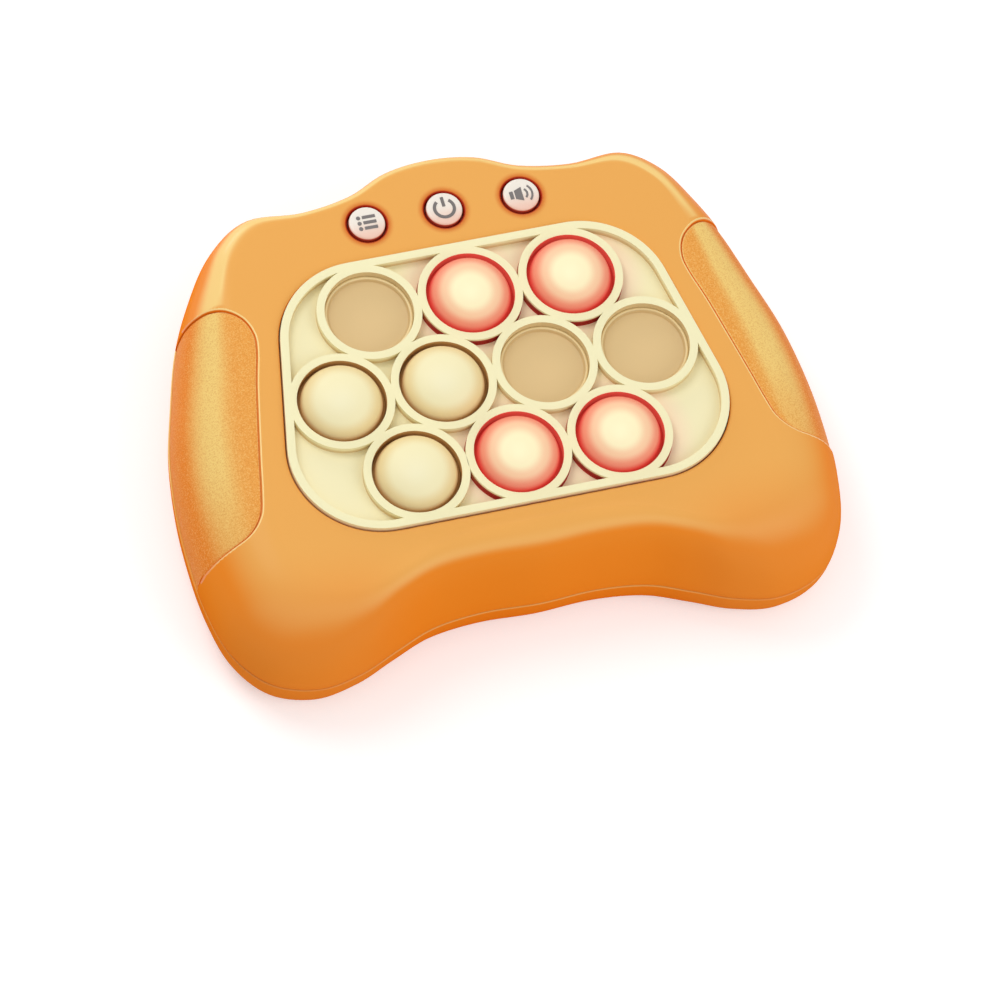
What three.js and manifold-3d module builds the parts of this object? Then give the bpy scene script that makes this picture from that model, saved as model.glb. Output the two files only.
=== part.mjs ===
// A hand-held electronic fidget game: a console with ten silicone bubbles in a hexagonal panel,
// three buttons behind it, a textured grip at each side and a battery bay underneath.
// Millimetres. +X to the player's right, +Y to the edge with the buttons, +Z up, floor at zero.
import * as THREE from "three";
import { mergeVertices } from "three/addons/utils/BufferGeometryUtils.js";
import Module from "manifold-3d";

const wasm = await Module();
wasm.setup();

// Clearances
const gap = 0.3;
const overrun = 2;

// Shell
const wall = 2.2;
const seamHeight = 12;
const deckHeight = 34;
const footInset = 6.5;
const footFullness = 0.9;
const lipHeight = 1.8;
const lipInset = wall / 2 + gap / 2;
const grooveInset = wall / 2 - gap / 2;

// Bubbles: a hexagonal field in rows of three, four and three, the first row at the back
const bubblePitch = 25.4;
const rowPitch = bubblePitch * Math.sin(Math.PI / 3);
const bubbleRows = [3, 4, 3];
const middleRow = 1;
const widestRow = Math.max(...bubbleRows);
const pressedBubbles = [1, 6, 7];
const bubbleRadius = 9.2;
const bubbleRise = 7;
const pressedDepth = 5;
const bubbleSkin = 1.2;
const bubbleTravel = bubbleRise + pressedDepth;
const skirtDrop = 0.3;
const skirtThickness = 1.2;
const stemRadius = 2;

// Silicone panel: a sheet with a rim and a ring round each bubble, on a flange under the deck
const ringBore = 10.87;
const ringWall = 1.95;
const ringProud = 1;
const ringHeight = 2.3;
const rimWidth = 2;
const flangeReach = 1.8;
const flangeThickness = 1.3;
const panelSideMargin = 1.3;
const panelBackMargin = 1.3;
const panelFrontMargin = 0.4;
const panelCorner = 21.4;
const panelTaperShare = 0.2;
const ringRadius = ringBore + ringWall;
const panelReach = ((widestRow - 1) / 2) * bubblePitch + ringRadius + panelSideMargin;
const panelBack = middleRow * rowPitch + ringRadius + panelBackMargin;
const panelFront = middleRow * rowPitch + ringRadius + panelFrontMargin;
const ringTop = deckHeight + ringProud;
const sheetTop = ringTop - ringHeight;
const roofUnderside = deckHeight - wall;
const panelUnderside = roofUnderside - gap - flangeThickness;

// Buttons behind the panel
const buttonNames = ["mode_button", "power_button", "volume_button"];
const buttonSpacing = 19.55;
const buttonRowOffset = 9.9;
const buttonRadius = 4.47;
const buttonGap = 0.43;
const buttonProud = 0.7;
const buttonCrown = 0.5;
const buttonTravel = 0.8;
const buttonFlange = 1.4;
const buttonFlangeThickness = 1.2;
const buttonPlungerRadius = 1.6;
const buttonPlunger = 1.5;
const buttonRow = panelBack + buttonRowOffset;

// Outline of the deck and of the belt round it
const deckSideMargin = 7.8;
const deckBackMargin = 7.6;
const deckFrontMargin = 4.3;
const sideCrown = 20.5;
const backCrown = 4.2;
const lobeCrown = 23.2;
const deckSide = panelReach + deckSideMargin;
const deckBack = buttonRow + buttonRadius + buttonGap + deckBackMargin;
const deckFront = panelFront + deckFrontMargin;
const beltSide = deckSide + sideCrown;
const beltBack = deckBack + backCrown;
const beltFront = deckFront + lobeCrown;

// Half of the outline, from the middle of the back to the middle of the front. Each row holds the
// belt's x and y, the deck's x and y, how far the wall leans in, and how full its crown is.
const outlineShares = [
  [0, 1, 0, 1, 0.15, 2],
  [0.143, 0.976, 0.18, 0.977, 0.15, 2],
  [0.274, 0.904, 0.35, 0.9, 0.15, 2],
  [0.428, 0.872, 0.558, 0.865, 0.15, 2],
  [0.602, 0.9, 0.75, 0.851, 0.15, 1.8],
  [0.722, 0.812, 0.875, 0.752, 0.1, 1.3],
  [0.804, 0.664, 0.933, 0.607, 0.05, 1],
  [0.87, 0.494, 0.95, 0.462, 0, 0.85],
  [0.925, 0.279, 0.958, 0.256, 0, 0.8],
  [0.97, 0.072, 0.978, 0.068, 0, 0.8],
  [0.994, -0.144, 1, -0.215, 0, 0.8],
  [1, -0.351, 1.022, -0.519, 0, 0.8],
  [0.99, -0.574, 1.025, -0.797, 0, 0.8],
  [0.95, -0.787, 0.992, -1.013, 0, 0.8],
  [0.858, -0.94, 0.908, -1.152, 0.05, 0.8],
  [0.72, -1, 0.8, -1.215, 0.1, 0.8],
  [0.583, -0.972, 0.692, -1.21, 0.25, 1],
  [0.458, -0.905, 0.567, -1.139, 0.5, 1.5],
  [0.332, -0.843, 0.417, -1.046, 0.65, 2],
  [0.175, -0.82, 0.222, -1.008, 0.7, 2.2],
  [0, -0.829, 0, -1, 0.7, 2.2],
];
const ribCount = 72;
const footLevelShares = [0, 0.4, 0.75];
const crownLevelShares = [0, 0.24, 0.44, 0.62, 0.8, 1];

// Grips: a textured skin let into each side of the upper housing
const gripSink = 0.6;
const gripThickness = 1.6;
const gripBackShares = [1.08, 0.43];
const gripEdgeShares = [
  [0.88, 0.45],
  [0.815, 0.497],
  [0.755, 0.503],
  [0.71, 0.45],
  [0.69, 0.36],
  [0.693, 0.22],
  [0.72, 0.02],
  [0.757, -0.22],
  [0.785, -0.36],
  [0.82, -0.445],
  [0.88, -0.485],
];
const gripFrontShares = [1.08, -0.49];
const gripSteps = 26;
const gripSeat = gripSink + gripThickness + gap;
const gripFoot = seamHeight + lipHeight + gap + wall + gap;

// Screws: six through the lower housing, and one that holds the battery door
const screwHeadRadius = 2.5;
const screwHead = 1.8;
const screwHeadSink = 0.8;
const screwRadius = 1.3;
const screwLength = 13;
const crossWidth = 0.7;
const crossReach = 1.6;
const crossDepth = 1;
const bossRadius = 4.2;
const upperBossRadius = 3.4;
const casePlaceShares = [
  [0.575, 0.67],
  [0.825, -0.03],
  [0.75, -0.735],
];
const doorScrewLength = 6;
const doorCupWall = 1;
const doorCupMargin = 0.6;
const doorBossWall = 1.1;
const screwHeadTop = screwHeadSink + screwHead;
const screwTip = screwHeadTop + screwLength;
const doorScrewTip = screwHeadTop + doorScrewLength;
const doorCupCeiling = screwHeadTop + gap;
const doorCupTop = doorCupCeiling + doorCupWall;
const doorCupRadius = screwHeadRadius + gap + doorCupWall;

// Batteries: three cells side by side under a door
const cellCount = 3;
const cellRadius = 5.2;
const cellLength = 44.5;
const cellNubRadius = 1.9;
const cellNub = 1;
const cellPitch = 2 * cellRadius + gap;
const contactThickness = 0.6;
const contactHeight = 8;
const bayCentre = -8;
const bayWall = 1.5;
const bayRoof = 1.4;
const doorSink = 0.2;
const doorThickness = 1.8;
const doorSideLap = 2.5;
const doorEndLap = 2 * doorCupRadius + doorCupMargin + gap + bayWall;
const doorCorner = 3;
const doorTabWidth = 9;
const doorTabReach = 1.6;
const doorTabSpacing = 26;
const doorTop = doorSink + doorThickness;
const cellBottom = doorTop + gap;
const bayCeiling = cellBottom + 2 * cellRadius + gap;
const bayHalfLength = cellLength / 2 + cellNub + gap + contactThickness + gap;
const bayHalfWidth = (cellCount * cellPitch) / 2 + gap;
const doorHalfLength = bayHalfLength + doorSideLap;
const doorHalfWidth = bayHalfWidth + doorEndLap;

// Light wells, one under each bubble, in a plate between the board and the panel
const wellClearance = 0.13;
const wellWall = 1.1;
const plateThickness = 1.5;
const plateMargin = 1;
const plateTop = panelUnderside - gap;
const wellBore = ringBore + wellClearance;
const wellRadius = wellBore + wellWall;

// Main circuit board and what it carries: it reaches past the wells and the chip beside them
const boardRim = 2.5;
const boardEndMargin = 0.503;
const boardCorner = 5;
const boardThickness = 1.6;
const boardPostRadius = 2.2;
const boardPostInset = 5;
const switchHalf = 3;
const switchBody = 3;
const switchTipRadius = 1.5;
const switchTip = 0.6;
const switchHeight = switchBody + switchTip;
const ledRadius = 1.5;
const ledHeight = 1.1;
const ledDome = 0.7;
const ledOffset = 5.9;
const chipHalf = 4;
const chipHeight = 1.4;
const chipClearance = 3;
const boardBottom = bayCeiling + bayRoof + gap;
const boardTop = boardBottom + boardThickness;
const switchTop = boardTop + gap + switchHeight;
const backRowReach = ((bubbleRows[0] - 1) / 2) * bubblePitch;
const chipX = backRowReach + wellRadius + chipClearance + chipHalf;
const boardHalfWidth = chipX + chipHalf + boardRim;
const boardHalfDepth = middleRow * rowPitch + wellRadius + boardEndMargin;

// Small board under the three buttons
const buttonBoardEnd = 7.5;
const buttonBoardHalfDepth = 5;
const buttonBoardThickness = 1.2;
const stakeRadius = 2;
const stakePinRadius = 0.9;
const stakePinReach = 1;
const stakeSpacing = buttonSpacing;
const buttonFoot = roofUnderside - gap - buttonFlangeThickness - buttonPlunger;
const buttonSwitchTop = buttonFoot - buttonTravel - gap;
const buttonBoardTop = buttonSwitchTop - switchHeight - gap;

// Speaker in the floor at the back
const speakerCentre = 39;
const speakerRadius = 14;
const speakerRim = 2.4;
const speakerBasket = 2.6;
const speakerBasketRadius = 10;
const speakerMagnet = 3;
const speakerMagnetRadius = 7;
const collarWall = 1.4;
const collarHeight = 2.6;
const grilleRings = [
  [1, 0],
  [6, 4.4],
  [10, 8.6],
];
const grilleHole = 1.1;

// Sides of the round pieces
const fineSides = 20;
const bubbleSides = 16;
const wellSides = 16;
const roundSides = 12;
const smallSides = 8;
const domeSteps = 4;
const skinSteps = 2;
const cornerSteps = 5;

// Solids from three.js geometries, and back
function toSolid(geometry) {
  const bare = geometry.clone();
  bare.deleteAttribute("normal");
  bare.deleteAttribute("uv");
  const merged = mergeVertices(bare);
  return new wasm.Manifold(
    new wasm.Mesh({
      numProp: 3,
      vertProperties: merged.attributes.position.array,
      triVerts: new Uint32Array(merged.index.array),
    }),
  );
}

function toGeometry(solid) {
  const { vertProperties, triVerts } = solid.getMesh();
  const geometry = new THREE.BufferGeometry();
  geometry.setAttribute("position", new THREE.BufferAttribute(vertProperties, 3));
  geometry.setIndex(new THREE.BufferAttribute(triVerts, 1));
  geometry.computeVertexNormals();
  return geometry;
}

function prism(shape, low, high, steps = cornerSteps) {
  const settings = { depth: high - low, bevelEnabled: false, curveSegments: steps };
  return toSolid(new THREE.ExtrudeGeometry(shape, settings).translate(0, 0, low));
}

function block(centreX, centreY, halfX, halfY, low, high) {
  const box = new THREE.BoxGeometry(2 * halfX, 2 * halfY, high - low);
  return toSolid(box.translate(centreX, centreY, (low + high) / 2));
}

function cylinder(centreX, centreY, radius, low, high, sides = roundSides) {
  const tube = new THREE.CylinderGeometry(radius, radius, high - low, sides);
  return toSolid(tube.rotateX(Math.PI / 2).translate(centreX, centreY, (low + high) / 2));
}

// A turned piece about the vertical: the profile's points are radius and height.
function turned(profile, sides, place = new THREE.Vector2()) {
  const points = profile.map(([radius, height]) => new THREE.Vector2(radius, height));
  const anticlockwise = THREE.ShapeUtils.area(points) > 0;
  const upward = anticlockwise ? points : points.reverse();
  return new THREE.LatheGeometry(upward, sides).rotateX(Math.PI / 2).translate(place.x, place.y, 0);
}

function above(level) {
  const reach = beltSide + beltBack;
  return block(0, 0, reach, reach, level, level + reach);
}

function below(level) {
  const reach = beltSide + beltBack;
  return block(0, 0, reach, reach, level - reach, level);
}

function mirrored(places) {
  return places.flatMap((place) => [place, new THREE.Vector2(-place.x, place.y)]);
}

// The shell's ribs: where each starts on the belt, ends on the deck, and how it bends between
function outlineCurves() {
  const right = outlineShares.map(([beltX, beltY, deckX, deckY, lean, fullness]) => ({
    belt: new THREE.Vector3(beltX * beltSide, beltY * (beltY > 0 ? beltBack : beltFront), lean),
    deck: new THREE.Vector3(deckX * deckSide, deckY * (deckY > 0 ? deckBack : deckFront), fullness),
  }));
  const left = right.slice(1, -1).reverse();
  const flip = new THREE.Vector3(-1, 1, 1);
  const whole = (name) => [
    ...right.map((row) => row[name]),
    ...left.map((row) => row[name].clone().multiply(flip)),
  ];
  const curve = (points) => new THREE.CatmullRomCurve3(points, true, "catmullrom", 0.5);
  return { belt: curve(whole("belt")), deck: curve(whole("deck")) };
}

function shellRibs() {
  const { belt, deck } = outlineCurves();
  return Array.from({ length: ribCount }, (_, i) => {
    const start = belt.getPoint(i / ribCount);
    const end = deck.getPoint(i / ribCount);
    const along = belt.getTangent(i / ribCount);
    return {
      belt: new THREE.Vector2(start.x, start.y),
      deck: new THREE.Vector2(end.x, end.y),
      lean: start.z,
      fullness: end.z,
      inward: new THREE.Vector2(along.y, -along.x).normalize(),
    };
  });
}

const ribs = shellRibs();

// A point of the arc from start to end that bends round corner, fuller with a larger weight
function bend(start, corner, end, weight, share) {
  const first = (1 - share) ** 2;
  const middle = 2 * weight * share * (1 - share);
  const last = share ** 2;
  return start
    .clone()
    .multiplyScalar(first)
    .addScaledVector(corner, middle)
    .addScaledVector(end, last)
    .divideScalar(first + middle + last);
}

function lifted(flat, inward, inset, height) {
  return new THREE.Vector3(flat.x + inward.x * inset, flat.y + inward.y * inset, height);
}

// The whole body as one solid, drawn in all round by an inset
function bodySolid(inset) {
  const low = inset;
  const high = deckHeight - inset;
  const footRings = footLevelShares.map((share) =>
    ribs.map(({ belt, inward }) => {
      const sole = lifted(belt, inward, inset + footInset, low);
      const corner = lifted(belt, inward, inset, low);
      const side = lifted(belt, inward, inset, seamHeight);
      return bend(sole, corner, side, footFullness, share);
    }),
  );
  const crownRings = crownLevelShares.map((share) =>
    ribs.map(({ belt, deck, lean, fullness, inward }) => {
      const side = lifted(belt, inward, inset, seamHeight);
      const corner = lifted(belt.clone().lerp(deck, lean), inward, inset, high);
      const edge = lifted(deck, inward, inset, high);
      return bend(side, corner, edge, fullness, share);
    }),
  );
  const rings = [...footRings, ...crownRings];
  const points = rings.flat();
  const count = ribs.length;
  const faces = [];
  for (let ring = 0; ring < rings.length - 1; ring++) {
    for (let i = 0; i < count; i++) {
      const here = ring * count + i;
      const next = ring * count + ((i + 1) % count);
      faces.push(here, here + count, next, next, here + count, next + count);
    }
  }
  const floorCentre = points.push(new THREE.Vector3(0, 0, low)) - 1;
  const roofCentre = points.push(new THREE.Vector3(0, 0, high)) - 1;
  const roofRing = (rings.length - 1) * count;
  for (let i = 0; i < count; i++) {
    const next = (i + 1) % count;
    faces.push(floorCentre, i, next);
    faces.push(roofCentre, roofRing + next, roofRing + i);
  }
  const geometry = new THREE.BufferGeometry().setFromPoints(points);
  geometry.setIndex(faces);
  return toSolid(geometry);
}

// The panel's outline: a rounded trapezium, wider at the front, grown all round by an amount
function panelShape(grow) {
  const slant = Math.atan(panelTaperShare);
  const side = (height) => panelReach - panelTaperShare * height;
  const backTangent = panelCorner * Math.tan(Math.PI / 4 - slant / 2);
  const frontTangent = panelCorner * Math.tan(Math.PI / 4 + slant / 2);
  const backX = side(panelBack) - backTangent;
  const frontX = side(-panelFront) - frontTangent;
  const backY = panelBack - panelCorner;
  const frontY = panelCorner - panelFront;
  const radius = panelCorner + grow;
  const shape = new THREE.Shape();
  shape.absarc(backX, backY, radius, slant, Math.PI / 2, false);
  shape.absarc(-backX, backY, radius, Math.PI / 2, Math.PI - slant, false);
  shape.absarc(-frontX, frontY, radius, Math.PI - slant, 1.5 * Math.PI, false);
  shape.absarc(frontX, frontY, radius, 1.5 * Math.PI, 2 * Math.PI + slant, false);
  shape.closePath();
  return shape;
}

function roundedBlock(centreX, centreY, halfX, halfY, corner, low, high) {
  const shape = new THREE.Shape();
  const x = halfX - corner;
  const y = halfY - corner;
  shape.absarc(centreX + x, centreY + y, corner, 0, Math.PI / 2, false);
  shape.absarc(centreX - x, centreY + y, corner, Math.PI / 2, Math.PI, false);
  shape.absarc(centreX - x, centreY - y, corner, Math.PI, 1.5 * Math.PI, false);
  shape.absarc(centreX + x, centreY - y, corner, 1.5 * Math.PI, 2 * Math.PI, false);
  shape.closePath();
  return prism(shape, low, high, Math.ceil(cornerSteps / 2));
}

// The grip's outline seen from above, grown all round by an amount; side is 1 or -1
function gripShape(grow, side) {
  const place = ([x, y]) => new THREE.Vector2(x * beltSide, y * (y > 0 ? beltBack : beltFront));
  const edge = new THREE.SplineCurve(gripEdgeShares.map(place)).getPoints(gripSteps);
  const points = [place(gripBackShares), ...edge, place(gripFrontShares)];
  const grown = points.map((point, i) => {
    const before = points[Math.max(i - 1, 0)];
    const after = points[Math.min(i + 1, points.length - 1)];
    const along = after.clone().sub(before).normalize();
    return new THREE.Vector2(side * (point.x + along.y * grow), point.y - along.x * grow);
  });
  return new THREE.Shape(grown);
}

// Where things stand
const bubblePlaces = bubbleRows.flatMap((count, row) =>
  Array.from(
    { length: count },
    (_, i) => new THREE.Vector2((i - (count - 1) / 2) * bubblePitch, (middleRow - row) * rowPitch),
  ),
);
const buttonPlaces = buttonNames.map(
  (_, i) => new THREE.Vector2((i - (buttonNames.length - 1) / 2) * buttonSpacing, buttonRow),
);
const casePlaces = mirrored(
  casePlaceShares.map(([x, y]) => new THREE.Vector2(x * beltSide, y * (y > 0 ? beltBack : beltFront))),
);
const stakePlaces = mirrored([new THREE.Vector2(stakeSpacing / 2, buttonRow)]);
const boardPostPlaces = mirrored(
  [1, -1].map(
    (side) =>
      new THREE.Vector2(boardHalfWidth - boardPostInset, side * (boardHalfDepth - boardPostInset)),
  ),
);
const doorScrewPlace = new THREE.Vector2(
  0,
  bayCentre - doorHalfWidth + doorCupMargin + doorCupRadius,
);
const outside = bodySolid(0);
const cavity = bodySolid(wall);

function makeUpperHousing() {
  const groove = bodySolid(grooveInset).intersect(below(seamHeight + lipHeight + gap));
  let shell = outside.subtract(cavity).subtract(groove);
  for (const side of [1, -1]) {
    const bed = prism(gripShape(gap + wall, side), gripFoot - gap - wall, deckHeight);
    const lining = bodySolid(wall / 2).subtract(bodySolid(gripSeat + wall));
    shell = shell.add(lining.intersect(bed));
  }
  shell = shell.intersect(above(seamHeight + gap / 2));
  for (const { x, y } of casePlaces) {
    const boss = cylinder(x, y, upperBossRadius, seamHeight + gap / 2, deckHeight);
    shell = shell.add(boss.intersect(bodySolid(wall / 2)));
    const pilot = cylinder(x, y, screwRadius + gap / 2, 0, screwTip + gap, smallSides);
    shell = shell.subtract(pilot);
  }
  for (const { x, y } of stakePlaces) {
    const stake = cylinder(x, y, stakeRadius, buttonBoardTop + gap, deckHeight - wall / 2, smallSides);
    const pinFoot = buttonBoardTop - buttonBoardThickness - stakePinReach;
    shell = shell.add(stake).add(cylinder(x, y, stakePinRadius, pinFoot, roofUnderside, smallSides));
  }
  for (const side of [1, -1]) {
    const pocket = prism(gripShape(gap, side), gripFoot - gap, deckHeight + overrun);
    shell = shell.subtract(pocket.subtract(bodySolid(gripSeat)));
  }
  shell = shell.subtract(prism(panelShape(gap), seamHeight, deckHeight + overrun));
  for (const { x, y } of buttonPlaces) {
    const hole = cylinder(x, y, buttonRadius + buttonGap, panelUnderside, deckHeight + overrun, fineSides);
    shell = shell.subtract(hole);
  }
  return shell;
}

function makeLowerHousing() {
  const skin = outside.intersect(below(seamHeight - gap / 2));
  const lip = bodySolid(lipInset).intersect(below(seamHeight + lipHeight));
  let shell = skin.add(lip).subtract(cavity);
  for (const { x, y } of casePlaces) {
    shell = shell.add(cylinder(x, y, bossRadius, wall / 2, seamHeight - gap / 2));
    shell = shell.subtract(cylinder(x, y, screwHeadRadius + gap, -overrun, screwHeadTop + gap));
    shell = shell.subtract(cylinder(x, y, screwRadius + gap, 0, seamHeight + overrun, smallSides));
  }
  for (const { x, y } of boardPostPlaces) {
    shell = shell.add(cylinder(x, y, boardPostRadius, wall / 2, boardBottom - gap, smallSides));
  }
  return makeSpeakerSeat(makeBatteryBay(shell));
}

function makeBatteryBay(shell) {
  const frameLength = doorHalfLength + gap + wall;
  const frameWidth = doorHalfWidth + gap + wall;
  const frameTop = doorTop + gap + wall;
  const bayTop = bayCeiling + bayRoof;
  const recessTop = doorTop + gap;
  const frame = block(0, bayCentre, frameLength, frameWidth, wall / 2, frameTop);
  const bay = block(0, bayCentre, bayHalfLength + bayWall, bayHalfWidth + bayWall, wall / 2, bayTop);
  const { x, y } = doorScrewPlace;
  const cupRadius = doorCupRadius + gap;
  const pilotTop = doorScrewTip + gap;
  const boss = cylinder(x, y, cupRadius + doorBossWall, wall / 2, pilotTop + doorBossWall);
  const inside = block(0, bayCentre, bayHalfLength, bayHalfWidth, 0, bayCeiling);
  const recess = doorSolid(gap, -overrun, recessTop);
  const cupRecess = cylinder(x, y, cupRadius, -overrun, doorCupTop + gap);
  const pilot = cylinder(x, y, screwRadius + gap / 2, 0, pilotTop, smallSides);
  const hollow = inside.add(recess).add(cupRecess).add(pilot);
  return shell.add(frame).add(bay).add(boss).subtract(hollow);
}

function makeSpeakerSeat(shell) {
  const y = speakerCentre;
  const inside = speakerRadius + gap;
  const top = wall + collarHeight;
  const collar = cylinder(0, y, inside + collarWall, wall / 2, top, fineSides);
  const well = cylinder(0, y, inside, wall, top + overrun, fineSides);
  let seated = shell.add(collar).subtract(well);
  for (const [count, radius] of grilleRings) {
    for (let i = 0; i < count; i++) {
      const turn = (i / count) * 2 * Math.PI;
      const across = radius * Math.cos(turn);
      const along = y + radius * Math.sin(turn);
      const hole = cylinder(across, along, grilleHole, -overrun, wall + overrun, smallSides);
      seated = seated.subtract(hole);
    }
  }
  return seated;
}

// The door's outline with its two locating tabs, grown all round by an amount
function doorSolid(grow, low, high) {
  const plate = roundedBlock(
    0,
    bayCentre,
    doorHalfLength + grow,
    doorHalfWidth + grow,
    doorCorner + grow,
    low,
    high,
  );
  return mirrored([new THREE.Vector2(doorTabSpacing / 2, bayCentre + doorHalfWidth)]).reduce(
    (door, { x, y }) =>
      door.add(block(x, y, doorTabWidth / 2 + grow, doorTabReach + grow, low, high)),
    plate,
  );
}

function makeBatteryDoor() {
  const { x, y } = doorScrewPlace;
  const cup = cylinder(x, y, doorCupRadius, doorSink, doorCupTop);
  const headSeat = cylinder(x, y, screwHeadRadius + gap, -overrun, doorCupCeiling);
  const shankHole = cylinder(x, y, screwRadius + gap, -overrun, doorCupTop + overrun, smallSides);
  return doorSolid(0, doorSink, doorTop).add(cup).subtract(headSeat).subtract(shankHole);
}

function makeGrip(side) {
  const skin = bodySolid(gripSink).subtract(bodySolid(gripSink + gripThickness));
  return skin.intersect(prism(gripShape(0, side), gripFoot, deckHeight + overrun));
}

function makeBubblePanel() {
  const rimInside = prism(panelShape(-rimWidth), sheetTop, ringTop + overrun);
  const flangeTop = panelUnderside + flangeThickness;
  let panel = prism(panelShape(0), panelUnderside, ringTop).subtract(rimInside);
  panel = panel.add(prism(panelShape(flangeReach), panelUnderside, flangeTop));
  for (const { x, y } of bubblePlaces) {
    panel = panel.add(cylinder(x, y, ringRadius, sheetTop - skirtDrop, ringTop, fineSides));
  }
  for (const { x, y } of bubblePlaces) {
    const bore = cylinder(x, y, ringBore, panelUnderside - overrun, ringTop + overrun, fineSides);
    panel = panel.subtract(bore);
  }
  return panel.intersect(prism(panelShape(flangeReach), panelUnderside, ringTop));
}

function makeWellPlate() {
  const foot = boardTop + gap;
  let plate = prism(panelShape(plateMargin), plateTop - plateThickness, plateTop);
  for (const { x, y } of bubblePlaces) {
    plate = plate.add(cylinder(x, y, wellRadius, foot, plateTop, wellSides));
  }
  for (const { x, y } of bubblePlaces) {
    plate = plate.subtract(cylinder(x, y, wellBore, foot - overrun, plateTop + overrun, wellSides));
  }
  return plate;
}

// Half an ellipse from the rim to the axis, as radius and height
function domeArc(radius, rise, base, steps) {
  return Array.from({ length: steps + 1 }, (_, i) => {
    const turn = ((i / steps) * Math.PI) / 2;
    return [i === steps ? 0 : radius * Math.cos(turn), base + rise * Math.sin(turn)];
  });
}

// A bubble standing up: a thin dome on a skirt, with a stem hanging inside it over the switch
function raisedBubble(place) {
  const skirtTop = sheetTop - skirtDrop;
  const skirtFoot = skirtTop - skirtThickness;
  const skirtRadius = ringBore - gap;
  const outer = domeArc(bubbleRadius, bubbleRise + skirtDrop, skirtTop, domeSteps);
  const innerRise = sheetTop + bubbleRise - bubbleSkin - skirtFoot;
  const inner = domeArc(bubbleRadius - bubbleSkin, innerRise, skirtFoot, skinSteps).slice(0, -1);
  const stemFoot = switchTop + gap + bubbleTravel;
  const stemTop = sheetTop + bubbleRise - bubbleSkin;
  const profile = [
    [0, stemFoot],
    [stemRadius, stemFoot],
    [stemRadius, stemTop],
    ...inner.reverse(),
    [skirtRadius, skirtFoot],
    [skirtRadius, skirtTop],
    ...outer,
  ];
  return turned(profile, bubbleSides, place);
}

// A bubble pressed in: the same skin turned inside out, with its stem on the switch
function pressedBubble(place) {
  const skirtTop = sheetTop - skirtDrop;
  const skirtFoot = skirtTop - skirtThickness;
  const skirtRadius = ringBore - gap;
  const bowl = domeArc(bubbleRadius, -pressedDepth + skirtDrop, skirtTop, domeSteps);
  const underRise = sheetTop - pressedDepth - bubbleSkin - skirtFoot;
  const under = domeArc(bubbleRadius, underRise, skirtFoot, skinSteps).slice(0, -1);
  const stemFoot = switchTop + gap;
  const stemTop = sheetTop - pressedDepth - bubbleSkin;
  const profile = [
    [0, stemFoot],
    [stemRadius, stemFoot],
    [stemRadius, stemTop],
    ...under.reverse(),
    [skirtRadius, skirtFoot],
    [skirtRadius, skirtTop],
    ...bowl,
  ];
  return turned(profile, bubbleSides, place);
}

function buttonCap(place) {
  const flangeTop = roofUnderside - gap;
  const flangeFoot = flangeTop - buttonFlangeThickness;
  const capTop = deckHeight + buttonProud;
  const profile = [
    [0, buttonFoot],
    [buttonPlungerRadius, buttonFoot],
    [buttonPlungerRadius, flangeFoot],
    [buttonRadius + buttonFlange, flangeFoot],
    [buttonRadius + buttonFlange, flangeTop],
    [buttonRadius, flangeTop],
    [buttonRadius, capTop - buttonCrown],
    [buttonRadius - buttonCrown, capTop],
    [0, capTop + buttonCrown / 2],
  ];
  return turned(profile, bubbleSides, place);
}

function makeMainBoard() {
  return roundedBlock(0, 0, boardHalfWidth, boardHalfDepth, boardCorner, boardBottom, boardTop);
}

function makeButtonBoard() {
  const halfLength = buttonSpacing + buttonBoardEnd;
  const low = buttonBoardTop - buttonBoardThickness;
  let board = block(0, buttonRow, halfLength, buttonBoardHalfDepth, low, buttonBoardTop);
  for (const { x, y } of stakePlaces) {
    const hole = cylinder(x, y, stakePinRadius + gap, low - overrun, buttonBoardTop + overrun, smallSides);
    board = board.subtract(hole);
  }
  return board;
}

function switchSolid({ x, y }, foot) {
  const body = block(x, y, switchHalf, switchHalf, foot, foot + switchBody);
  return body.add(cylinder(x, y, switchTipRadius, foot, foot + switchHeight, smallSides));
}

function ledProfile(foot) {
  return [
    [0, foot],
    [ledRadius, foot],
    [ledRadius, foot + ledHeight],
    [ledRadius / 2, foot + ledHeight + ledDome],
    [0, foot + ledHeight + ledDome],
  ];
}

function screwSolid({ x, y }, length) {
  const low = screwHeadSink - overrun;
  const crossTop = screwHeadSink + crossDepth;
  const head = cylinder(x, y, screwHeadRadius, screwHeadSink, screwHeadTop);
  const shank = cylinder(x, y, screwRadius, crossTop, screwHeadTop + length, smallSides);
  const slot = block(x, y, crossReach, crossWidth / 2, low, crossTop);
  const crossSlot = block(x, y, crossWidth / 2, crossReach, low, crossTop);
  return head.subtract(slot).subtract(crossSlot).add(shank);
}

function cellProfile() {
  const half = cellLength / 2;
  return [
    [0, -half],
    [cellRadius, -half],
    [cellRadius, half],
    [cellNubRadius, half],
    [cellNubRadius, half + cellNub],
    [0, half + cellNub],
  ];
}

function cellGeometry(index) {
  const turn = index % 2 ? -Math.PI / 2 : Math.PI / 2;
  const y = bayCentre + (index - (cellCount - 1) / 2) * cellPitch;
  return turned(cellProfile(), roundSides).rotateY(turn).translate(0, y, cellBottom + cellRadius);
}

function contactSolid(side) {
  const x = side * (bayHalfLength - gap - contactThickness / 2);
  const low = cellBottom + cellRadius - contactHeight / 2;
  return block(x, bayCentre, contactThickness / 2, bayHalfWidth - gap, low, low + contactHeight);
}

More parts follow.
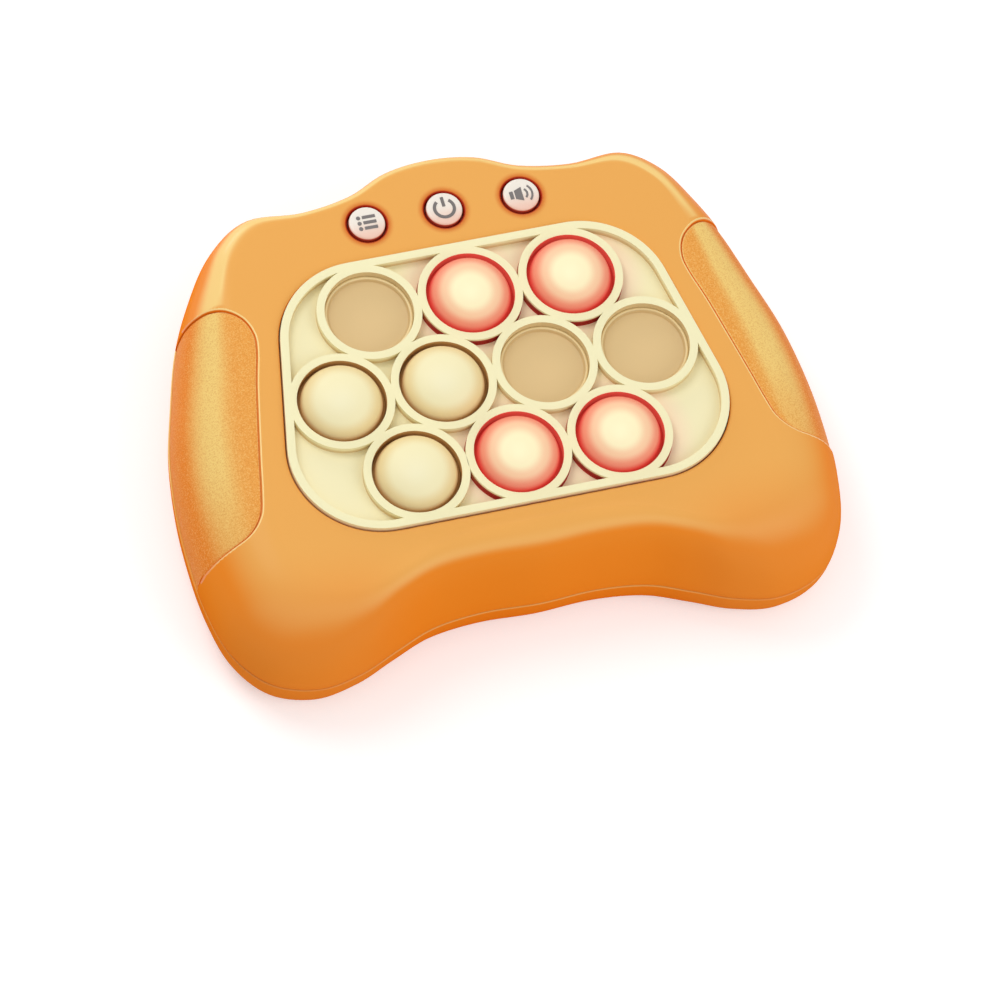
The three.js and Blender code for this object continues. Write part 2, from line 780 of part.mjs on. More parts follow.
function speakerGeometry() {
  const foot = wall + gap;
  const basketFoot = foot + speakerRim;
  const magnetFoot = basketFoot + speakerBasket;
  const profile = [
    [0, foot],
    [speakerRadius, foot],
    [speakerRadius, basketFoot],
    [speakerBasketRadius, magnetFoot],
    [speakerMagnetRadius, magnetFoot],
    [speakerMagnetRadius, magnetFoot + speakerMagnet],
    [0, magnetFoot + speakerMagnet],
  ];
  return turned(profile, fineSides, new THREE.Vector2(0, speakerCentre));
}

// Finishes
const finishes = {
  orangePlastic: { color: 0xf0a557, roughness: 0.38, metalness: 0 },
  gripRubber: { color: 0xee9a3c, roughness: 0.6, metalness: 0 },
  creamSilicone: { color: 0xfaf0c4, roughness: 0.55, metalness: 0 },
  bubbleSilicone: { color: 0xf9f2cc, roughness: 0.5, metalness: 0 },
  pressedSilicone: { color: 0xe2c28c, roughness: 0.6, metalness: 0 },
  litSilicone: { color: 0xf07a62, roughness: 0.5, metalness: 0 },
  whitePlastic: { color: 0xf8f4ee, roughness: 0.35, metalness: 0 },
  wellPlastic: { color: 0xf2f2ee, roughness: 0.6, metalness: 0 },
  greenBoard: { color: 0x2c6b3f, roughness: 0.5, metalness: 0 },
  blackPlastic: { color: 0x202022, roughness: 0.5, metalness: 0 },
  ledLens: { color: 0xf5d8d0, roughness: 0.2, metalness: 0 },
  steel: { color: 0xb9bcc0, roughness: 0.3, metalness: 1 },
  cellJacket: { color: 0x3f6fa8, roughness: 0.35, metalness: 0.2 },
};

const fidgetGame = new THREE.Group();
fidgetGame.position.y = (beltFront - beltBack) / 2;

function addPiece(name, shape, finish) {
  const geometry = shape.isBufferGeometry ? shape : toGeometry(shape);
  const mesh = new THREE.Mesh(geometry, new THREE.MeshStandardMaterial(finishes[finish]));
  mesh.name = name;
  fidgetGame.add(mesh);
}

addPiece("upper_housing", makeUpperHousing(), "orangePlastic");
addPiece("lower_housing", makeLowerHousing(), "orangePlastic");
addPiece("battery_door", makeBatteryDoor(), "orangePlastic");
addPiece("right_grip", makeGrip(1), "gripRubber");
addPiece("left_grip", makeGrip(-1), "gripRubber");
addPiece("bubble_pad", makeBubblePanel(), "creamSilicone");
addPiece("light_well_plate", makeWellPlate(), "wellPlastic");
addPiece("main_board", makeMainBoard(), "greenBoard");
addPiece("button_board", makeButtonBoard(), "greenBoard");

const litBubbles = [2, 3, 9, 10];
bubblePlaces.forEach((place, i) => {
  const number = i + 1;
  const pressed = pressedBubbles.includes(number);
  const lit = litBubbles.includes(number);
  const finish = pressed ? "pressedSilicone" : lit ? "litSilicone" : "bubbleSilicone";
  addPiece(`bubble_${number}`, pressed ? pressedBubble(place) : raisedBubble(place), finish);
  addPiece(`bubble_switch_${number}`, switchSolid(place, boardTop + gap), "blackPlastic");
  const ledPlace = new THREE.Vector2(place.x, place.y - ledOffset);
  addPiece(`led_${number}`, turned(ledProfile(boardTop + gap), smallSides, ledPlace), "ledLens");
});

buttonPlaces.forEach((place, i) => {
  addPiece(buttonNames[i], buttonCap(place), "whitePlastic");
  addPiece(`button_switch_${i + 1}`, switchSolid(place, buttonBoardTop + gap), "blackPlastic");
});

casePlaces.forEach((place, i) => {
  addPiece(`case_screw_${i + 1}`, screwSolid(place, screwLength), "steel");
});
addPiece("battery_door_screw", screwSolid(doorScrewPlace, doorScrewLength), "steel");

for (let i = 0; i < cellCount; i++) {
  addPiece(`battery_cell_${i + 1}`, cellGeometry(i), "cellJacket");
}
addPiece("right_battery_contact", contactSolid(1), "steel");
addPiece("left_battery_contact", contactSolid(-1), "steel");
addPiece("speaker", speakerGeometry(), "blackPlastic");

const chipFoot = boardTop + gap;
addPiece(
  "controller_chip",
  block(chipX, rowPitch, chipHalf, chipHalf, chipFoot, chipFoot + chipHeight),
  "blackPlastic",
);

export default fidgetGame;
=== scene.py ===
# An orange hand-held game with ten pop bubbles in a cream silicone pad, three buttons and two grips.
import math

import bmesh
import bpy
import numpy as np
from mathutils import Matrix, Vector, kdtree


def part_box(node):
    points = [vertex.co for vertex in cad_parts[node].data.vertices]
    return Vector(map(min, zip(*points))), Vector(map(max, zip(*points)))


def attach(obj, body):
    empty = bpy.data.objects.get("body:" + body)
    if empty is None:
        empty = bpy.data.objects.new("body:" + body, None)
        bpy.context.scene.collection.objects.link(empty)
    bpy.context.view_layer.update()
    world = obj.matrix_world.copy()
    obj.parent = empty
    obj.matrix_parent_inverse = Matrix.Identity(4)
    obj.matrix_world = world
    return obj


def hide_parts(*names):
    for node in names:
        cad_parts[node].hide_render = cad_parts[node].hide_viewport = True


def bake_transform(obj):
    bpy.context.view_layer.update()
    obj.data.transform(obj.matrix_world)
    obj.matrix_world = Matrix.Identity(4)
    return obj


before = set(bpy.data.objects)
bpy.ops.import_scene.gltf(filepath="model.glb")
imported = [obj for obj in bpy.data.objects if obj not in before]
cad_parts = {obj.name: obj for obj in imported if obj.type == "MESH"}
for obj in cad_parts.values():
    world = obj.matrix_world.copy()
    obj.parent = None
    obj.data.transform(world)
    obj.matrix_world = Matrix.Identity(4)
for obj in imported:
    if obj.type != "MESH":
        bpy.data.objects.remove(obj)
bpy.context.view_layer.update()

mm = 0.001  # sizes below are in millimetres, and meshes are made in metres
tiny = 1e-6  # places closer than this, in metres, are the same


# Selecting and small edits

def deselect():
    bpy.ops.object.select_all(action="DESELECT")


def only(piece):
    deselect()
    piece.select_set(True)
    bpy.context.view_layer.objects.active = piece


def startEditing(piece, action="SELECT"):
    only(piece)
    bpy.ops.object.mode_set(mode="EDIT")
    bpy.ops.mesh.select_all(action=action)


def stopEditing():
    bpy.ops.object.mode_set(mode="OBJECT")


def newest(name):
    piece = bpy.context.active_object
    piece.name = name
    piece.data.name = name
    return piece


def bakePlace(piece):
    only(piece)
    bpy.ops.object.transform_apply(location=True, rotation=True, scale=True)
    return piece


# A copy with its own mesh, turned about Y and set at its place
def copyOf(piece, name, place, turn=0):
    only(piece)
    bpy.ops.object.duplicate()
    made = newest(name)
    made.rotation_euler = (0, turn, 0)
    made.location = [length * mm for length in (*place, 0)[:3]]
    return bakePlace(made)


def smooth(piece, angle=32):
    only(piece)
    bpy.ops.object.shade_smooth_by_angle(angle=math.radians(angle))
    return piece


def cut(piece, cutter, operation="DIFFERENCE", finishes="INDEX"):
    only(piece)
    bpy.ops.object.modifier_add(type="BOOLEAN")
    modifier = piece.modifiers[-1]
    modifier.operation = operation
    modifier.solver = "EXACT"
    modifier.material_mode = finishes
    modifier.object = cutter
    bpy.ops.object.modifier_apply(modifier=modifier.name)
    bpy.data.objects.remove(cutter)
    return piece


def join(piece, other):
    return cut(piece, other, "UNION")


def bevelEdges(piece, width, segments, chosen):
    startEditing(piece, "DESELECT")
    bpy.ops.mesh.select_mode(type="EDGE")
    mesh = bmesh.from_edit_mesh(piece.data)
    for edge in mesh.edges:
        if chosen(edge):
            edge.select_set(True)
    bmesh.update_edit_mesh(piece.data)
    bpy.ops.mesh.bevel(offset=width * mm, segments=segments, affect="EDGES", clamp_overlap=True)
    stopEditing()


def isLevelAt(edge, height):
    return all(abs(vertex.co.z - height * mm) < tiny for vertex in edge.verts)


def block(name, low, high):
    deselect()
    middle = [(top + bottom) / 2 * mm for bottom, top in zip(low, high)]
    bpy.ops.mesh.primitive_cube_add(size=1, location=middle)
    piece = newest(name)
    piece.scale = [(top - bottom) * mm for bottom, top in zip(low, high)]
    return bakePlace(piece)


def post(name, place, radius, low, high, sides=32):
    deselect()
    middle = (place[0] * mm, place[1] * mm, (low + high) / 2 * mm)
    depth = (high - low) * mm
    bpy.ops.mesh.primitive_cylinder_add(vertices=sides, radius=radius * mm, depth=depth, location=middle)
    return bakePlace(newest(name))


# A loop of points is extruded from ring to ring, and each new loop is set in its place
def lofted(name, rings, tip=None, closed=False, footed=True):
    count = len(rings[0])
    fill = "NGON" if footed and not closed else "NOTHING"
    deselect()
    bpy.ops.mesh.primitive_circle_add(vertices=count, radius=1, fill_type=fill)
    piece = newest(name)
    piece.data.vertices.foreach_set("co", (np.asarray(rings[0]) * mm).ravel())
    startEditing(piece)
    before = rings[0]
    for after in list(rings[1:]) + ([rings[0]] if closed else []):
        bpy.ops.mesh.extrude_region_move()
        setLoop(piece, before, after)
        before = after
    if tip is not None:
        bpy.ops.mesh.extrude_region_move()
        setLoop(piece, before, [tip] * count)
        bpy.ops.mesh.merge(type="CENTER")
    bpy.ops.mesh.select_all(action="SELECT")
    bpy.ops.mesh.remove_doubles(threshold=tiny)
    bpy.ops.mesh.normals_make_consistent(inside=False)
    stopEditing()
    return piece


def setLoop(piece, before, after):
    tree = kdtree.KDTree(len(before))
    for index, point in enumerate(before):
        tree.insert(Vector(point) * mm, index)
    tree.balance()
    mesh = bmesh.from_edit_mesh(piece.data)
    for vertex in mesh.verts:
        if vertex.select:
            vertex.co = Vector(after[tree.find(vertex.co)[1]]) * mm
    bmesh.update_edit_mesh(piece.data)


def circle(place, radius, height, sides):
    turns = np.arange(sides) * 2 * math.pi / sides
    across = place[0] + radius * np.cos(turns)
    along = place[1] + radius * np.sin(turns)
    return np.column_stack((across, along, np.full(sides, height)))


# A turned piece about an upright line: the profile's points are radius and height
def turned(name, place, profile, sides=64, footed=True):
    tip = (*place, profile[-1][1]) if profile[-1][0] == 0 else None
    rings = [circle(place, radius, height, sides) for radius, height in profile if radius > 0]
    return lofted(name, rings, tip=tip, footed=footed)


def quarter(centre, radius, first, last, steps):
    turns = np.radians(np.linspace(first, last, steps + 1))
    return [(centre[0] + radius * math.cos(t), centre[1] + radius * math.sin(t)) for t in turns]


def middleOf(node):
    return [(low + high) / 2 / mm for low, high in zip(*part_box(node))]


def centreOf(node):
    return tuple(middleOf(node)[:2])


# From the names of nodes and slots to those of pieces and materials
def camel(name):
    first, *rest = name.split("_")
    return first + "".join(word.title() for word in rest)


def give(piece, slot, body, *nodes, finish=None):
    if not any(piece.data.materials):
        piece.data.materials.clear()
        piece.data.materials.append(materials[finish or slot])
    if nodes:
        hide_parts(*nodes)
    if body:
        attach(piece, body)


# Shader helpers. A colour is written as three numbers up to 255.

def linear(shade):
    shares = [value / 255 for value in shade]
    return [share / 12.92 if share <= 0.04045 else ((share + 0.055) / 1.055) ** 2.4 for share in shares] + [1]


def treeOf(*values):
    return next(value.id_data for value in values if isinstance(value, bpy.types.NodeSocket))


def add(tree, kind, inputs=None, **settings):
    made = tree.nodes.new(kind)
    for name, value in settings.items():
        setattr(made, name, value)
    for name, value in (inputs or {}).items():
        if isinstance(value, bpy.types.NodeSocket):
            tree.links.new(value, made.inputs[name])
        else:
            made.inputs[name].default_value = value
    return made


def blend(share, first, second):
    tree = treeOf(share, first, second)
    return add(tree, "ShaderNodeMix", {0: share, 6: first, 7: second}, data_type="RGBA").outputs[2]


def between(value, low, high, start=0.0, end=1.0):
    ends = {"Value": value, "From Min": low, "From Max": high, "To Min": start, "To Max": end}
    return add(value.id_data, "ShaderNodeMapRange", ends, interpolation_type="SMOOTHSTEP").outputs["Result"]


def maths(operation, first, second=0.0):
    made = add(treeOf(first, second), "ShaderNodeMath", {0: first, 1: second}, operation=operation)
    return made.outputs[0]


def newMaterial(name, sockets):
    material = bpy.data.materials.new(name)
    material.use_nodes = True
    shader = material.node_tree.nodes["Principled BSDF"]
    for socket, value in sockets.items():
        shader.inputs[socket].default_value = value
    return material, material.node_tree, shader


def newGroup(name, inputs, outputs):
    group = bpy.data.node_groups.new(name, "ShaderNodeTree")
    for way, sockets in (("INPUT", inputs), ("OUTPUT", outputs)):
        for socket in sockets:
            group.interface.new_socket(name=socket, in_out=way, socket_type="NodeSocketFloat")
    return group, group.nodes.new("NodeGroupInput"), group.nodes.new("NodeGroupOutput")


# Cloudy tint and fine grain of a moulded surface, each with its own scale
def makeMouldedFinish():
    group, source, result = newGroup("mouldedFinish", ("Cloud Scale", "Grain Scale"), ("Cloud", "Grain"))
    place = add(group, "ShaderNodeTexCoord").outputs["Object"]
    for name, detail in (("Cloud", 3), ("Grain", 4)):
        inputs = {"Vector": place, "Scale": source.outputs[name + " Scale"], "Detail": detail}
        noise = add(group, "ShaderNodeTexNoise", inputs)
        group.links.new(noise.outputs["Fac"], result.inputs[name])
    return group


mouldedFinish = makeMouldedFinish()


# How far a point is, seen from above, from the nearest of some places
def makeNearest(name, places):
    group, source, result = newGroup(f"{name}Distance", (), ("Distance",))
    place = add(group, "ShaderNodeTexCoord").outputs["Object"]
    flat = add(group, "ShaderNodeVectorMath", {0: place, 1: (1, 1, 0)}, operation="MULTIPLY").outputs[0]
    least = None
    for x, y in places:
        centre = (x * mm, y * mm, 0)
        away = add(group, "ShaderNodeVectorMath", {0: flat, 1: centre}, operation="DISTANCE").outputs["Value"]
        least = away if least is None else maths("MINIMUM", least, away)
    group.links.new(maths("MULTIPLY", least, 1 / mm), result.inputs["Distance"])
    return group


# Where the bubbles and buttons are, from the frame

bubbleKinds = {"lit": (2, 3, 9, 10), "pressed": (1, 6, 7), "bubble": (4, 5, 8)}
arcShift = (-0.1, -0.2)  # of the lit bubbles' painted red glow arcs from their middles
bubblePlaces = {number: centreOf(f"bubble_{number}") for number in range(1, 11)}
buttonPlaces = {name: centreOf(name) for name in ("mode_button", "power_button", "volume_button")}
near = {kind: [bubblePlaces[number] for number in numbers] for kind, numbers in bubbleKinds.items()}
near["litArcs"] = [(x + arcShift[0], y + arcShift[1]) for x, y in near["lit"]]
near["buttons"] = list(buttonPlaces.values())
nearest = {kind: makeNearest(kind, places) for kind, places in near.items()}


# Camera, lights and floor

cameraSettings = {
    "azimuth": -28.747,
    "elevation": 62.587,
    "roll": 14.866,
    "distance": 1523.33,
    "target": (-7.928, -33.488, 35),
    "focalPixels": 6401.68,
    "framePixels": 1000,
    "sensor": 36,
    "clip": (0.05, 20),
}


def makeCamera():
    settings = cameraSettings
    azimuth, elevation, roll = (math.radians(settings[k]) for k in ("azimuth", "elevation", "roll"))
    level = math.cos(elevation)
    back = Vector((math.sin(azimuth) * level, -math.cos(azimuth) * level, math.sin(elevation)))
    right = Vector((math.cos(azimuth), math.sin(azimuth), 0))
    up = back.cross(right)
    across = right * math.cos(roll) + up * math.sin(roll)
    along = up * math.cos(roll) - right * math.sin(roll)
    data = bpy.data.cameras.new("camera")
    camera = bpy.data.objects.new("camera", data)
    bpy.context.scene.collection.objects.link(camera)
    data.sensor_width = settings["sensor"]
    data.lens = settings["sensor"] * settings["focalPixels"] / settings["framePixels"]
    data.clip_start, data.clip_end = settings["clip"]
    place = (Vector(settings["target"]) + back * settings["distance"]) * mm
    camera.matrix_world = Matrix.Translation(place) @ Matrix((across, along, back)).transposed().to_4x4()
    bpy.context.scene.camera = camera


lightSettings = {
    "keyLight": {"place": (-260, 330, 620), "size": 420, "power": 1.5},
    "fillLight": {"place": (420, -520, 520), "size": 600, "power": 1.8},
    "rimLight": {"place": (-250, 800, 280), "size": 300, "power": 1.1},
    "aim": (0, 0, 20),
    "ambient": 0.57,
    "paper": 0.86,
    "paperGlow": 0.36,
    "paperSize": 12000,
    "paperDrop": 0.3,
}


def makeLight(name):
    settings = lightSettings[name]
    data = bpy.data.lights.new(name, "AREA")
    data.shape = "DISK"
    data.size = settings["size"] * mm
    data.energy = settings["power"]
    light = bpy.data.objects.new(name, data)
    bpy.context.scene.collection.objects.link(light)
    light.location = Vector(settings["place"]) * mm
    light.rotation_mode = "QUATERNION"
    light.rotation_quaternion = (Vector(lightSettings["aim"]) * mm - light.location).to_track_quat("-Z", "Y")


def isSeen(tree):
    rays = add(tree, "ShaderNodeLightPath").outputs
    straight = maths("MAXIMUM", rays["Is Camera Ray"], rays["Is Glossy Ray"])
    return maths("MAXIMUM", straight, rays["Is Transmission Ray"])


def makeWorld():
    world = bpy.data.worlds.new("studio")
    world.use_nodes = True
    tree = world.node_tree
    background = tree.nodes["Background"]
    background.inputs["Color"].default_value = (1, 1, 1, 1)
    strength = between(isSeen(tree), 0, 1, lightSettings["ambient"], 1)
    tree.links.new(strength, background.inputs["Strength"])
    bpy.context.scene.world = world


def makeFloor():
    settings = lightSettings
    deselect()
    place = (0, 0, -settings["paperDrop"] * mm)
    bpy.ops.mesh.primitive_plane_add(size=settings["paperSize"] * mm, location=place)
    floor = bakePlace(newest("floor"))
    sockets = {"Roughness": 0.9, "Specular IOR Level": 0.1, "Emission Strength": 1}
    sockets["Base Color"] = [settings["paper"]] * 3 + [1]
    material, tree, shader = newMaterial("palePaper", sockets)
    glow = between(isSeen(tree), 0, 1, 0, settings["paperGlow"])
    tree.links.new(glow, shader.inputs["Emission Color"])
    floor.data.materials.append(material)


makeCamera()
for name in ("keyLight", "fillLight", "rimLight"):
    makeLight(name)
makeWorld()
makeFloor()
bpy.context.scene.view_settings.view_transform = "Standard"
print("camera, lights and floor made")


# Finishes. Each is painted on its base in layers: a shade and then the ramps whose product is its
# share. A ramp has what it reads, its two ends and, if not 0 and 1, its two values. Two sets of ends
# are for the left and the right of the turn. A pair of shades is mixed by the cloud, or by the ramp
# that follows. Shades with places run along the spread kept in the mesh. Up and back are how far a
# surface faces that way, and places are in millimetres. A list of ramps drives its socket.

def speckled(first, second, roughness, metallic=0.0, noise=(60, 900)):
    rough = ("grain", 0.3, 0.7, roughness * 0.85, min(1.0, roughness * 1.2))
    sockets = {"Metallic": metallic, "Roughness": [rough]}
    base = (first, second, ("cloud", 0.3, 0.7))
    return {"noise": noise, "bump": (0.1, 0.04), "sockets": sockets, "base": base}


def silicone(stops, glow=None, strength=0.0, **layers):
    sockets = {"Roughness": 0.5, "Specular IOR Level": 0.3, "Emission Strength": strength}
    moulded = {"noise": (60, 800), "bump": (0.05, 0.04), "sockets": sockets}
    return {**moulded, "base": stops, "glow": glow, **layers}


upright = ("up", 0.35, 0.8, 1, 0)
onDeck = ("z", 25, 27)
boreEdge = (10.9, 11.3, 1, 0)
spreadJitter = 0.06

finishes = {
    "orange_plastic": {
        "noise": (22, 900),
        "bump": (0.08, 0.05),
        "sockets": {
            "Specular IOR Level": 0,
            "Coat Roughness": 0.22,
            "Coat Weight": [("back", 0.05, 0.35, 0.12, 0.4), ("up", 0.15, 0.6)],
            "Roughness": [("cloud", 0.3, 0.7, 0.3, 0.38)],
        },
        "turn": (-20, 50),
        "base": (246, 124, 16),
        # Painted shade: faces turned down keep the deepest orange, and faces turned up get a lighter one.
        "side": ((248, 140, 34), ("up", -0.4, 0.5)),
        # Painted sheen: faces that turn up are paler.
        "deck": ((242, 176, 92), ("up", 0.56, 1)),
        "cloud": (((236, 150, 64), (252, 196, 116)), 0.05),
        # Painted highlight along the crest where the front deck turns down into the wall.
        "crest": (
            (252, 196, 118), ("back", -0.15, -0.42), ("back", -0.48, -0.75, 1, 0), ("up", 0.5, 0.9, 0, 0.35)
        ),
        # Painted shade: the lobes are a darker orange towards the front.
        "lobes": ((240, 144, 58), ("aside", 28, 50), ("y", -34, -56, 0, 0.5)),
        # Painted highlight along the back shoulders, where the crown turns away; its ends differ left and
        # right.
        "shoulderHighlight": (
            (254, 220, 142),
            ("up", (0.42, 0.74), (0.82, 0.95)),
            ("up", (0.93, 1, 1, 0), (0.985, 1, 1, 0)),
            ("back", 0.01, 0.12, 0, 0.85),
            ("y", -20, 5),
        ),
        # Painted glow: an orange-red halo on the deck round each button.
        "buttonHalo": ((214, 92, 24), onDeck, ("buttons", 5, 6.9, 0.8, 0)),
        # Painted shade: dark red in the gap round each button.
        "buttonGap": ((176, 44, 20), onDeck, ("buttons", 5.1, 5.5, 1, 0)),
    },
    "lip_plastic": {  # the lip of the pockets that the grips lie in, with a painted highlight where it faces up
        "noise": (40, 900),
        "bump": (0.06, 0.04),
        "sockets": {"Roughness": 0.3, "Specular IOR Level": 0.3},
        "base": (240, 134, 36),
        # Painted highlight: the lip is paler where it faces up.
        "pale": (((252, 208, 128), (255, 222, 148)), ("up", 0.25, 0.8)),
    },
    "grip_rubber": {
        "noise": (40, 3000),
        "bump": (0.5, 0.1),
        "sockets": {"Roughness": 0.55, "Specular IOR Level": 0.12},
        "turn": (-1, 1),
        "base": (240, 132, 24),
        # Painted highlight: a pale streak along each grip where its faces turn up, paler towards the back;
        # left and right have their own ends.
        "streak": (((243, 184, 98), (247, 208, 122), ("y", -30, -6)), ("up", (0.4, 0.8), (0.6, 0.86))),
        # Painted light: faces turned almost straight up go back to a deeper orange, which bounds the
        # highlight streak.
        "inner": ((240, 164, 74), ("up", (0.86, 0.99), (0.95, 0.998))),
        "paleGrain": ((255, 226, 146), ("grain", 0.5, 0.64, 0, 0.3)),
        "darkGrain": ((206, 118, 40), ("grain", 0.36, 0.5, 0.3, 0)),
    },
    "cream_silicone": {
        "noise": (30, 700),
        "bump": (0.06, 0.04),
        "sockets": {"Roughness": 0.52, "Specular IOR Level": 0.3, "Emission Strength": 0.14},
        "base": ((247, 238, 190), (250, 242, 200)),
        # Painted red light spilling from the lit bubbles onto the sheet round them.
        "blush": ((255, 222, 194), ("lit", 13.5, 20, 0.6, 0)),
        # Painted red glow: a thin dark red line at the foot of the lit rings.
        "glowArcOnSheet": ((180, 44, 36), ("litArcs", 12.92, 13, 1, 0)),
        "raised": ((249, 242, 196), ("z", 33.5, 34.6)),
        # Painted shade: brown at the foot of upright walls.
        "foot": ((206, 166, 104), upright, ("z", 33.2, 34.4, 0.65, 0.12)),
        # Painted red glow, dark, on the front of the lit rings' outer walls.
        "arcs": (
            (164, 26, 22),
            ("back", -0.1, -0.5),
            ("lit", 12.2, 12.5),
            ("lit", 13, 13.3, 1, 0),
            ("z", 32.6, 32.9),
            ("z", 34.1, 34.5, 1, 0),
            upright,
        ),
        # Painted red glow on the bore walls of the lit bubbles.
        "litBores": ((230, 96, 82), ("lit", *boreEdge), upright),
        # Painted shade on the bore walls of the plain bubbles.
        "plainBoreShade": ((206, 164, 102), ("bubble", *boreEdge), upright),
        # Painted shade on the bore walls of the pressed bubbles.
        "pressedBores": ((222, 198, 146), ("pressed", *boreEdge), upright),
        "glow": ((236, 120, 104), ("lit", *boreEdge), upright),
    },
    "bubble_silicone": silicone(
        {
            # Painted light: cream in the middle, shaded to brown at the dome's edge and in the groove round
            # it.
            0: (252, 244, 202), 0.55: (251, 241, 194), 0.84: (243, 220, 162),
            0.92: (234, 198, 138), 0.965: (202, 158, 98), 1: (180, 136, 80),
        },
        # Painted shade: the skin turns tan where it is pushed down.
        pushedIn=((226, 196, 142), ("z", 32.2, 31.4)),
    ),
    "pressed_silicone": silicone(
        {
            # Painted shade and highlight: a tan dish, darker by its edge, with a pale line on its rim.
            0: (228, 197, 142), 0.86: (224, 194, 140), 0.925: (212, 180, 124),
            0.95: (250, 228, 174), 1: (250, 232, 182),
        },
        poppedUp=((251, 241, 196), ("z", 33.3, 35.5)),
    ),
    "lit_silicone": silicone(
        {
            # Painted red light: cream in the middle turning red towards the edge, and the skin glows in these
            # colours.
            0: (250, 241, 198), 0.34: (249, 236, 192), 0.6: (245, 200, 160),
            0.82: (238, 142, 114), 0.92: (228, 94, 80), 1: (206, 60, 52),
        },
        glow="skin",
        strength=0.12,
    ),
    "white_plastic": {
        "noise": (50, 900),
        "bump": (0.05, 0.03),
        "sockets": {"Roughness": 0.3, "Specular IOR Level": 0.4},
        # Painted reflection: each cap turns pink towards its front.
        "base": ((246, 238, 226), (246, 204, 184), ("y", 47.5, 41.8)),
        # Painted shade: dark red on the caps' steep sides and on what lies below them.
        "side": ((204, 66, 38), ("highest", ("up", 0.55, 0.1), ("z", 33.2, 33.8, 1, 0))),
        "haze": ((230, 215, 205), "cloud", 0.06),
    },
    "circuit_board": {
        "noise": (80, 900),
        "bump": (0.2, 0.05),
        "sockets": {"Roughness": 0.45},
        "tracks": {"Scale": 120, "Mortar Size": 0.06},
        "base": ((30, 92, 52), (44, 116, 66)),
        "copper": ((74, 148, 86), "tracks"),
    },
    "icon_ink": speckled((112, 106, 104), (126, 120, 118), 0.5),
    "well_plastic": speckled((238, 238, 232), (246, 246, 242), 0.6),
    "black_plastic": speckled((28, 28, 30), (40, 40, 42), 0.5),
    "led_lens": speckled((244, 214, 206), (250, 226, 218), 0.2),
    "steel": speckled((176, 178, 182), (200, 202, 206), 0.3, 1.0, (90, 1500)),
    "cell_jacket": speckled((52, 94, 150), (66, 112, 172), 0.35),
}


def makeReads(tree, noise, turn, tracks):
    scales = {"Cloud Scale": noise[0], "Grain Scale": noise[1]}
    moulded = add(tree, "ShaderNodeGroup", scales, node_tree=mouldedFinish).outputs
    place = add(tree, "ShaderNodeTexCoord").outputs
    spot, facing = (add(tree, "ShaderNodeSeparateXYZ", {0: place[k]}).outputs for k in ("Object", "Normal"))
    reads = {"x": spot["X"], "y": spot["Y"], "z": spot["Z"], "back": facing["Y"], "up": facing["Z"]}
    reads.update(cloud=moulded["Cloud"], grain=moulded["Grain"], height=moulded["Grain"])
    if tracks:
        black, white = (0, 0, 0, 1), (1, 1, 1, 1)
        inputs = {"Vector": place["Object"], "Color1": black, "Color2": black, "Mortar": white, **tracks}
        brick = add(tree, "ShaderNodeTexBrick", inputs).outputs
        reads.update(tracks=brick["Color"], height=brick["Fac"])
    if turn:
        reads.update(aside=maths("ABSOLUTE", spot["X"]), right=ramp(reads, "x", *turn))
    return reads


def ramp(reads, what, *ends):
    tree = treeOf(reads["x"])
    if what == "highest":
        return maths("MAXIMUM", *(ramp(reads, *each) for each in ends))
    if isinstance(ends[0], tuple):
        left, right = (ramp(reads, what, *each) for each in ends)
        made = add(tree, "ShaderNodeMix", {0: reads["right"], 2: left, 3: right}, data_type="FLOAT")
        return made.outputs[0]
    if what not in reads:
        reads[what] = add(tree, "ShaderNodeGroup", node_tree=nearest[what]).outputs["Distance"]
    unit = mm if what in ("x", "aside", "y", "z") else 1
    return between(reads[what], ends[0] * unit, ends[1] * unit, *ends[2:])


def shareOf(reads, parts):
    shares = [ramp(reads, *part) if isinstance(part, tuple) else reads.get(part, part) for part in parts]
    share = shares[0]
    for other in shares[1:]:
        share = maths("MULTIPLY", share, other)
    return share


def alongSpread(reads, stops):
    tree = treeOf(reads["x"])
    spread = add(tree, "ShaderNodeAttribute", attribute_name="spread").outputs["Fac"]
    shaken = maths("MULTIPLY", maths("SUBTRACT", reads["cloud"], 0.5), spreadJitter)
    made = add(tree, "ShaderNodeValToRGB", {0: maths("ADD", spread, shaken)})
    made.color_ramp.interpolation = "EASE"
    elements = made.color_ramp.elements
    first, *middle, last = stops.items()
    for element, (position, shade) in zip(elements, (first, last)):
        element.position, element.color = position, linear(shade)
    for position, shade in middle:
        elements.new(position).color = linear(shade)
    return made.outputs[0]


def shadeOf(reads, shade):
    if not isinstance(shade[0], tuple):
        return linear(shade)
    first, second, *by = shade
    return blend(shareOf(reads, by or ["cloud"]), linear(first), linear(second))


def painted(reads, skin, layers):
    for shade, *parts in layers:
        skin = blend(shareOf(reads, parts), skin, shadeOf(reads, shade))
    return skin


def makeFinish(slot, noise, bump, sockets, base, turn=None, tracks=None, glow=None, **layers):
    fixed = {socket: value for socket, value in sockets.items() if not isinstance(value, list)}
    material, tree, shader = newMaterial(camel(slot), fixed)
    reads = makeReads(tree, noise, turn, tracks)
    links = {socket: shareOf(reads, sockets[socket]) for socket in sockets if socket not in fixed}
    skin = alongSpread(reads, base) if isinstance(base, dict) else shadeOf(reads, base)
    skin = painted(reads, skin, layers.values())
    links["Base Color"] = skin
    if glow:
        links["Emission Color"] = skin if glow == "skin" else painted(reads, linear((0, 0, 0)), [glow])
    relief = {"Height": reads["height"], "Strength": bump[0], "Distance": bump[1] * mm}
    links["Normal"] = add(tree, "ShaderNodeBump", relief).outputs["Normal"]
    for socket, value in links.items():
        tree.links.new(value, shader.inputs[socket])
    return material


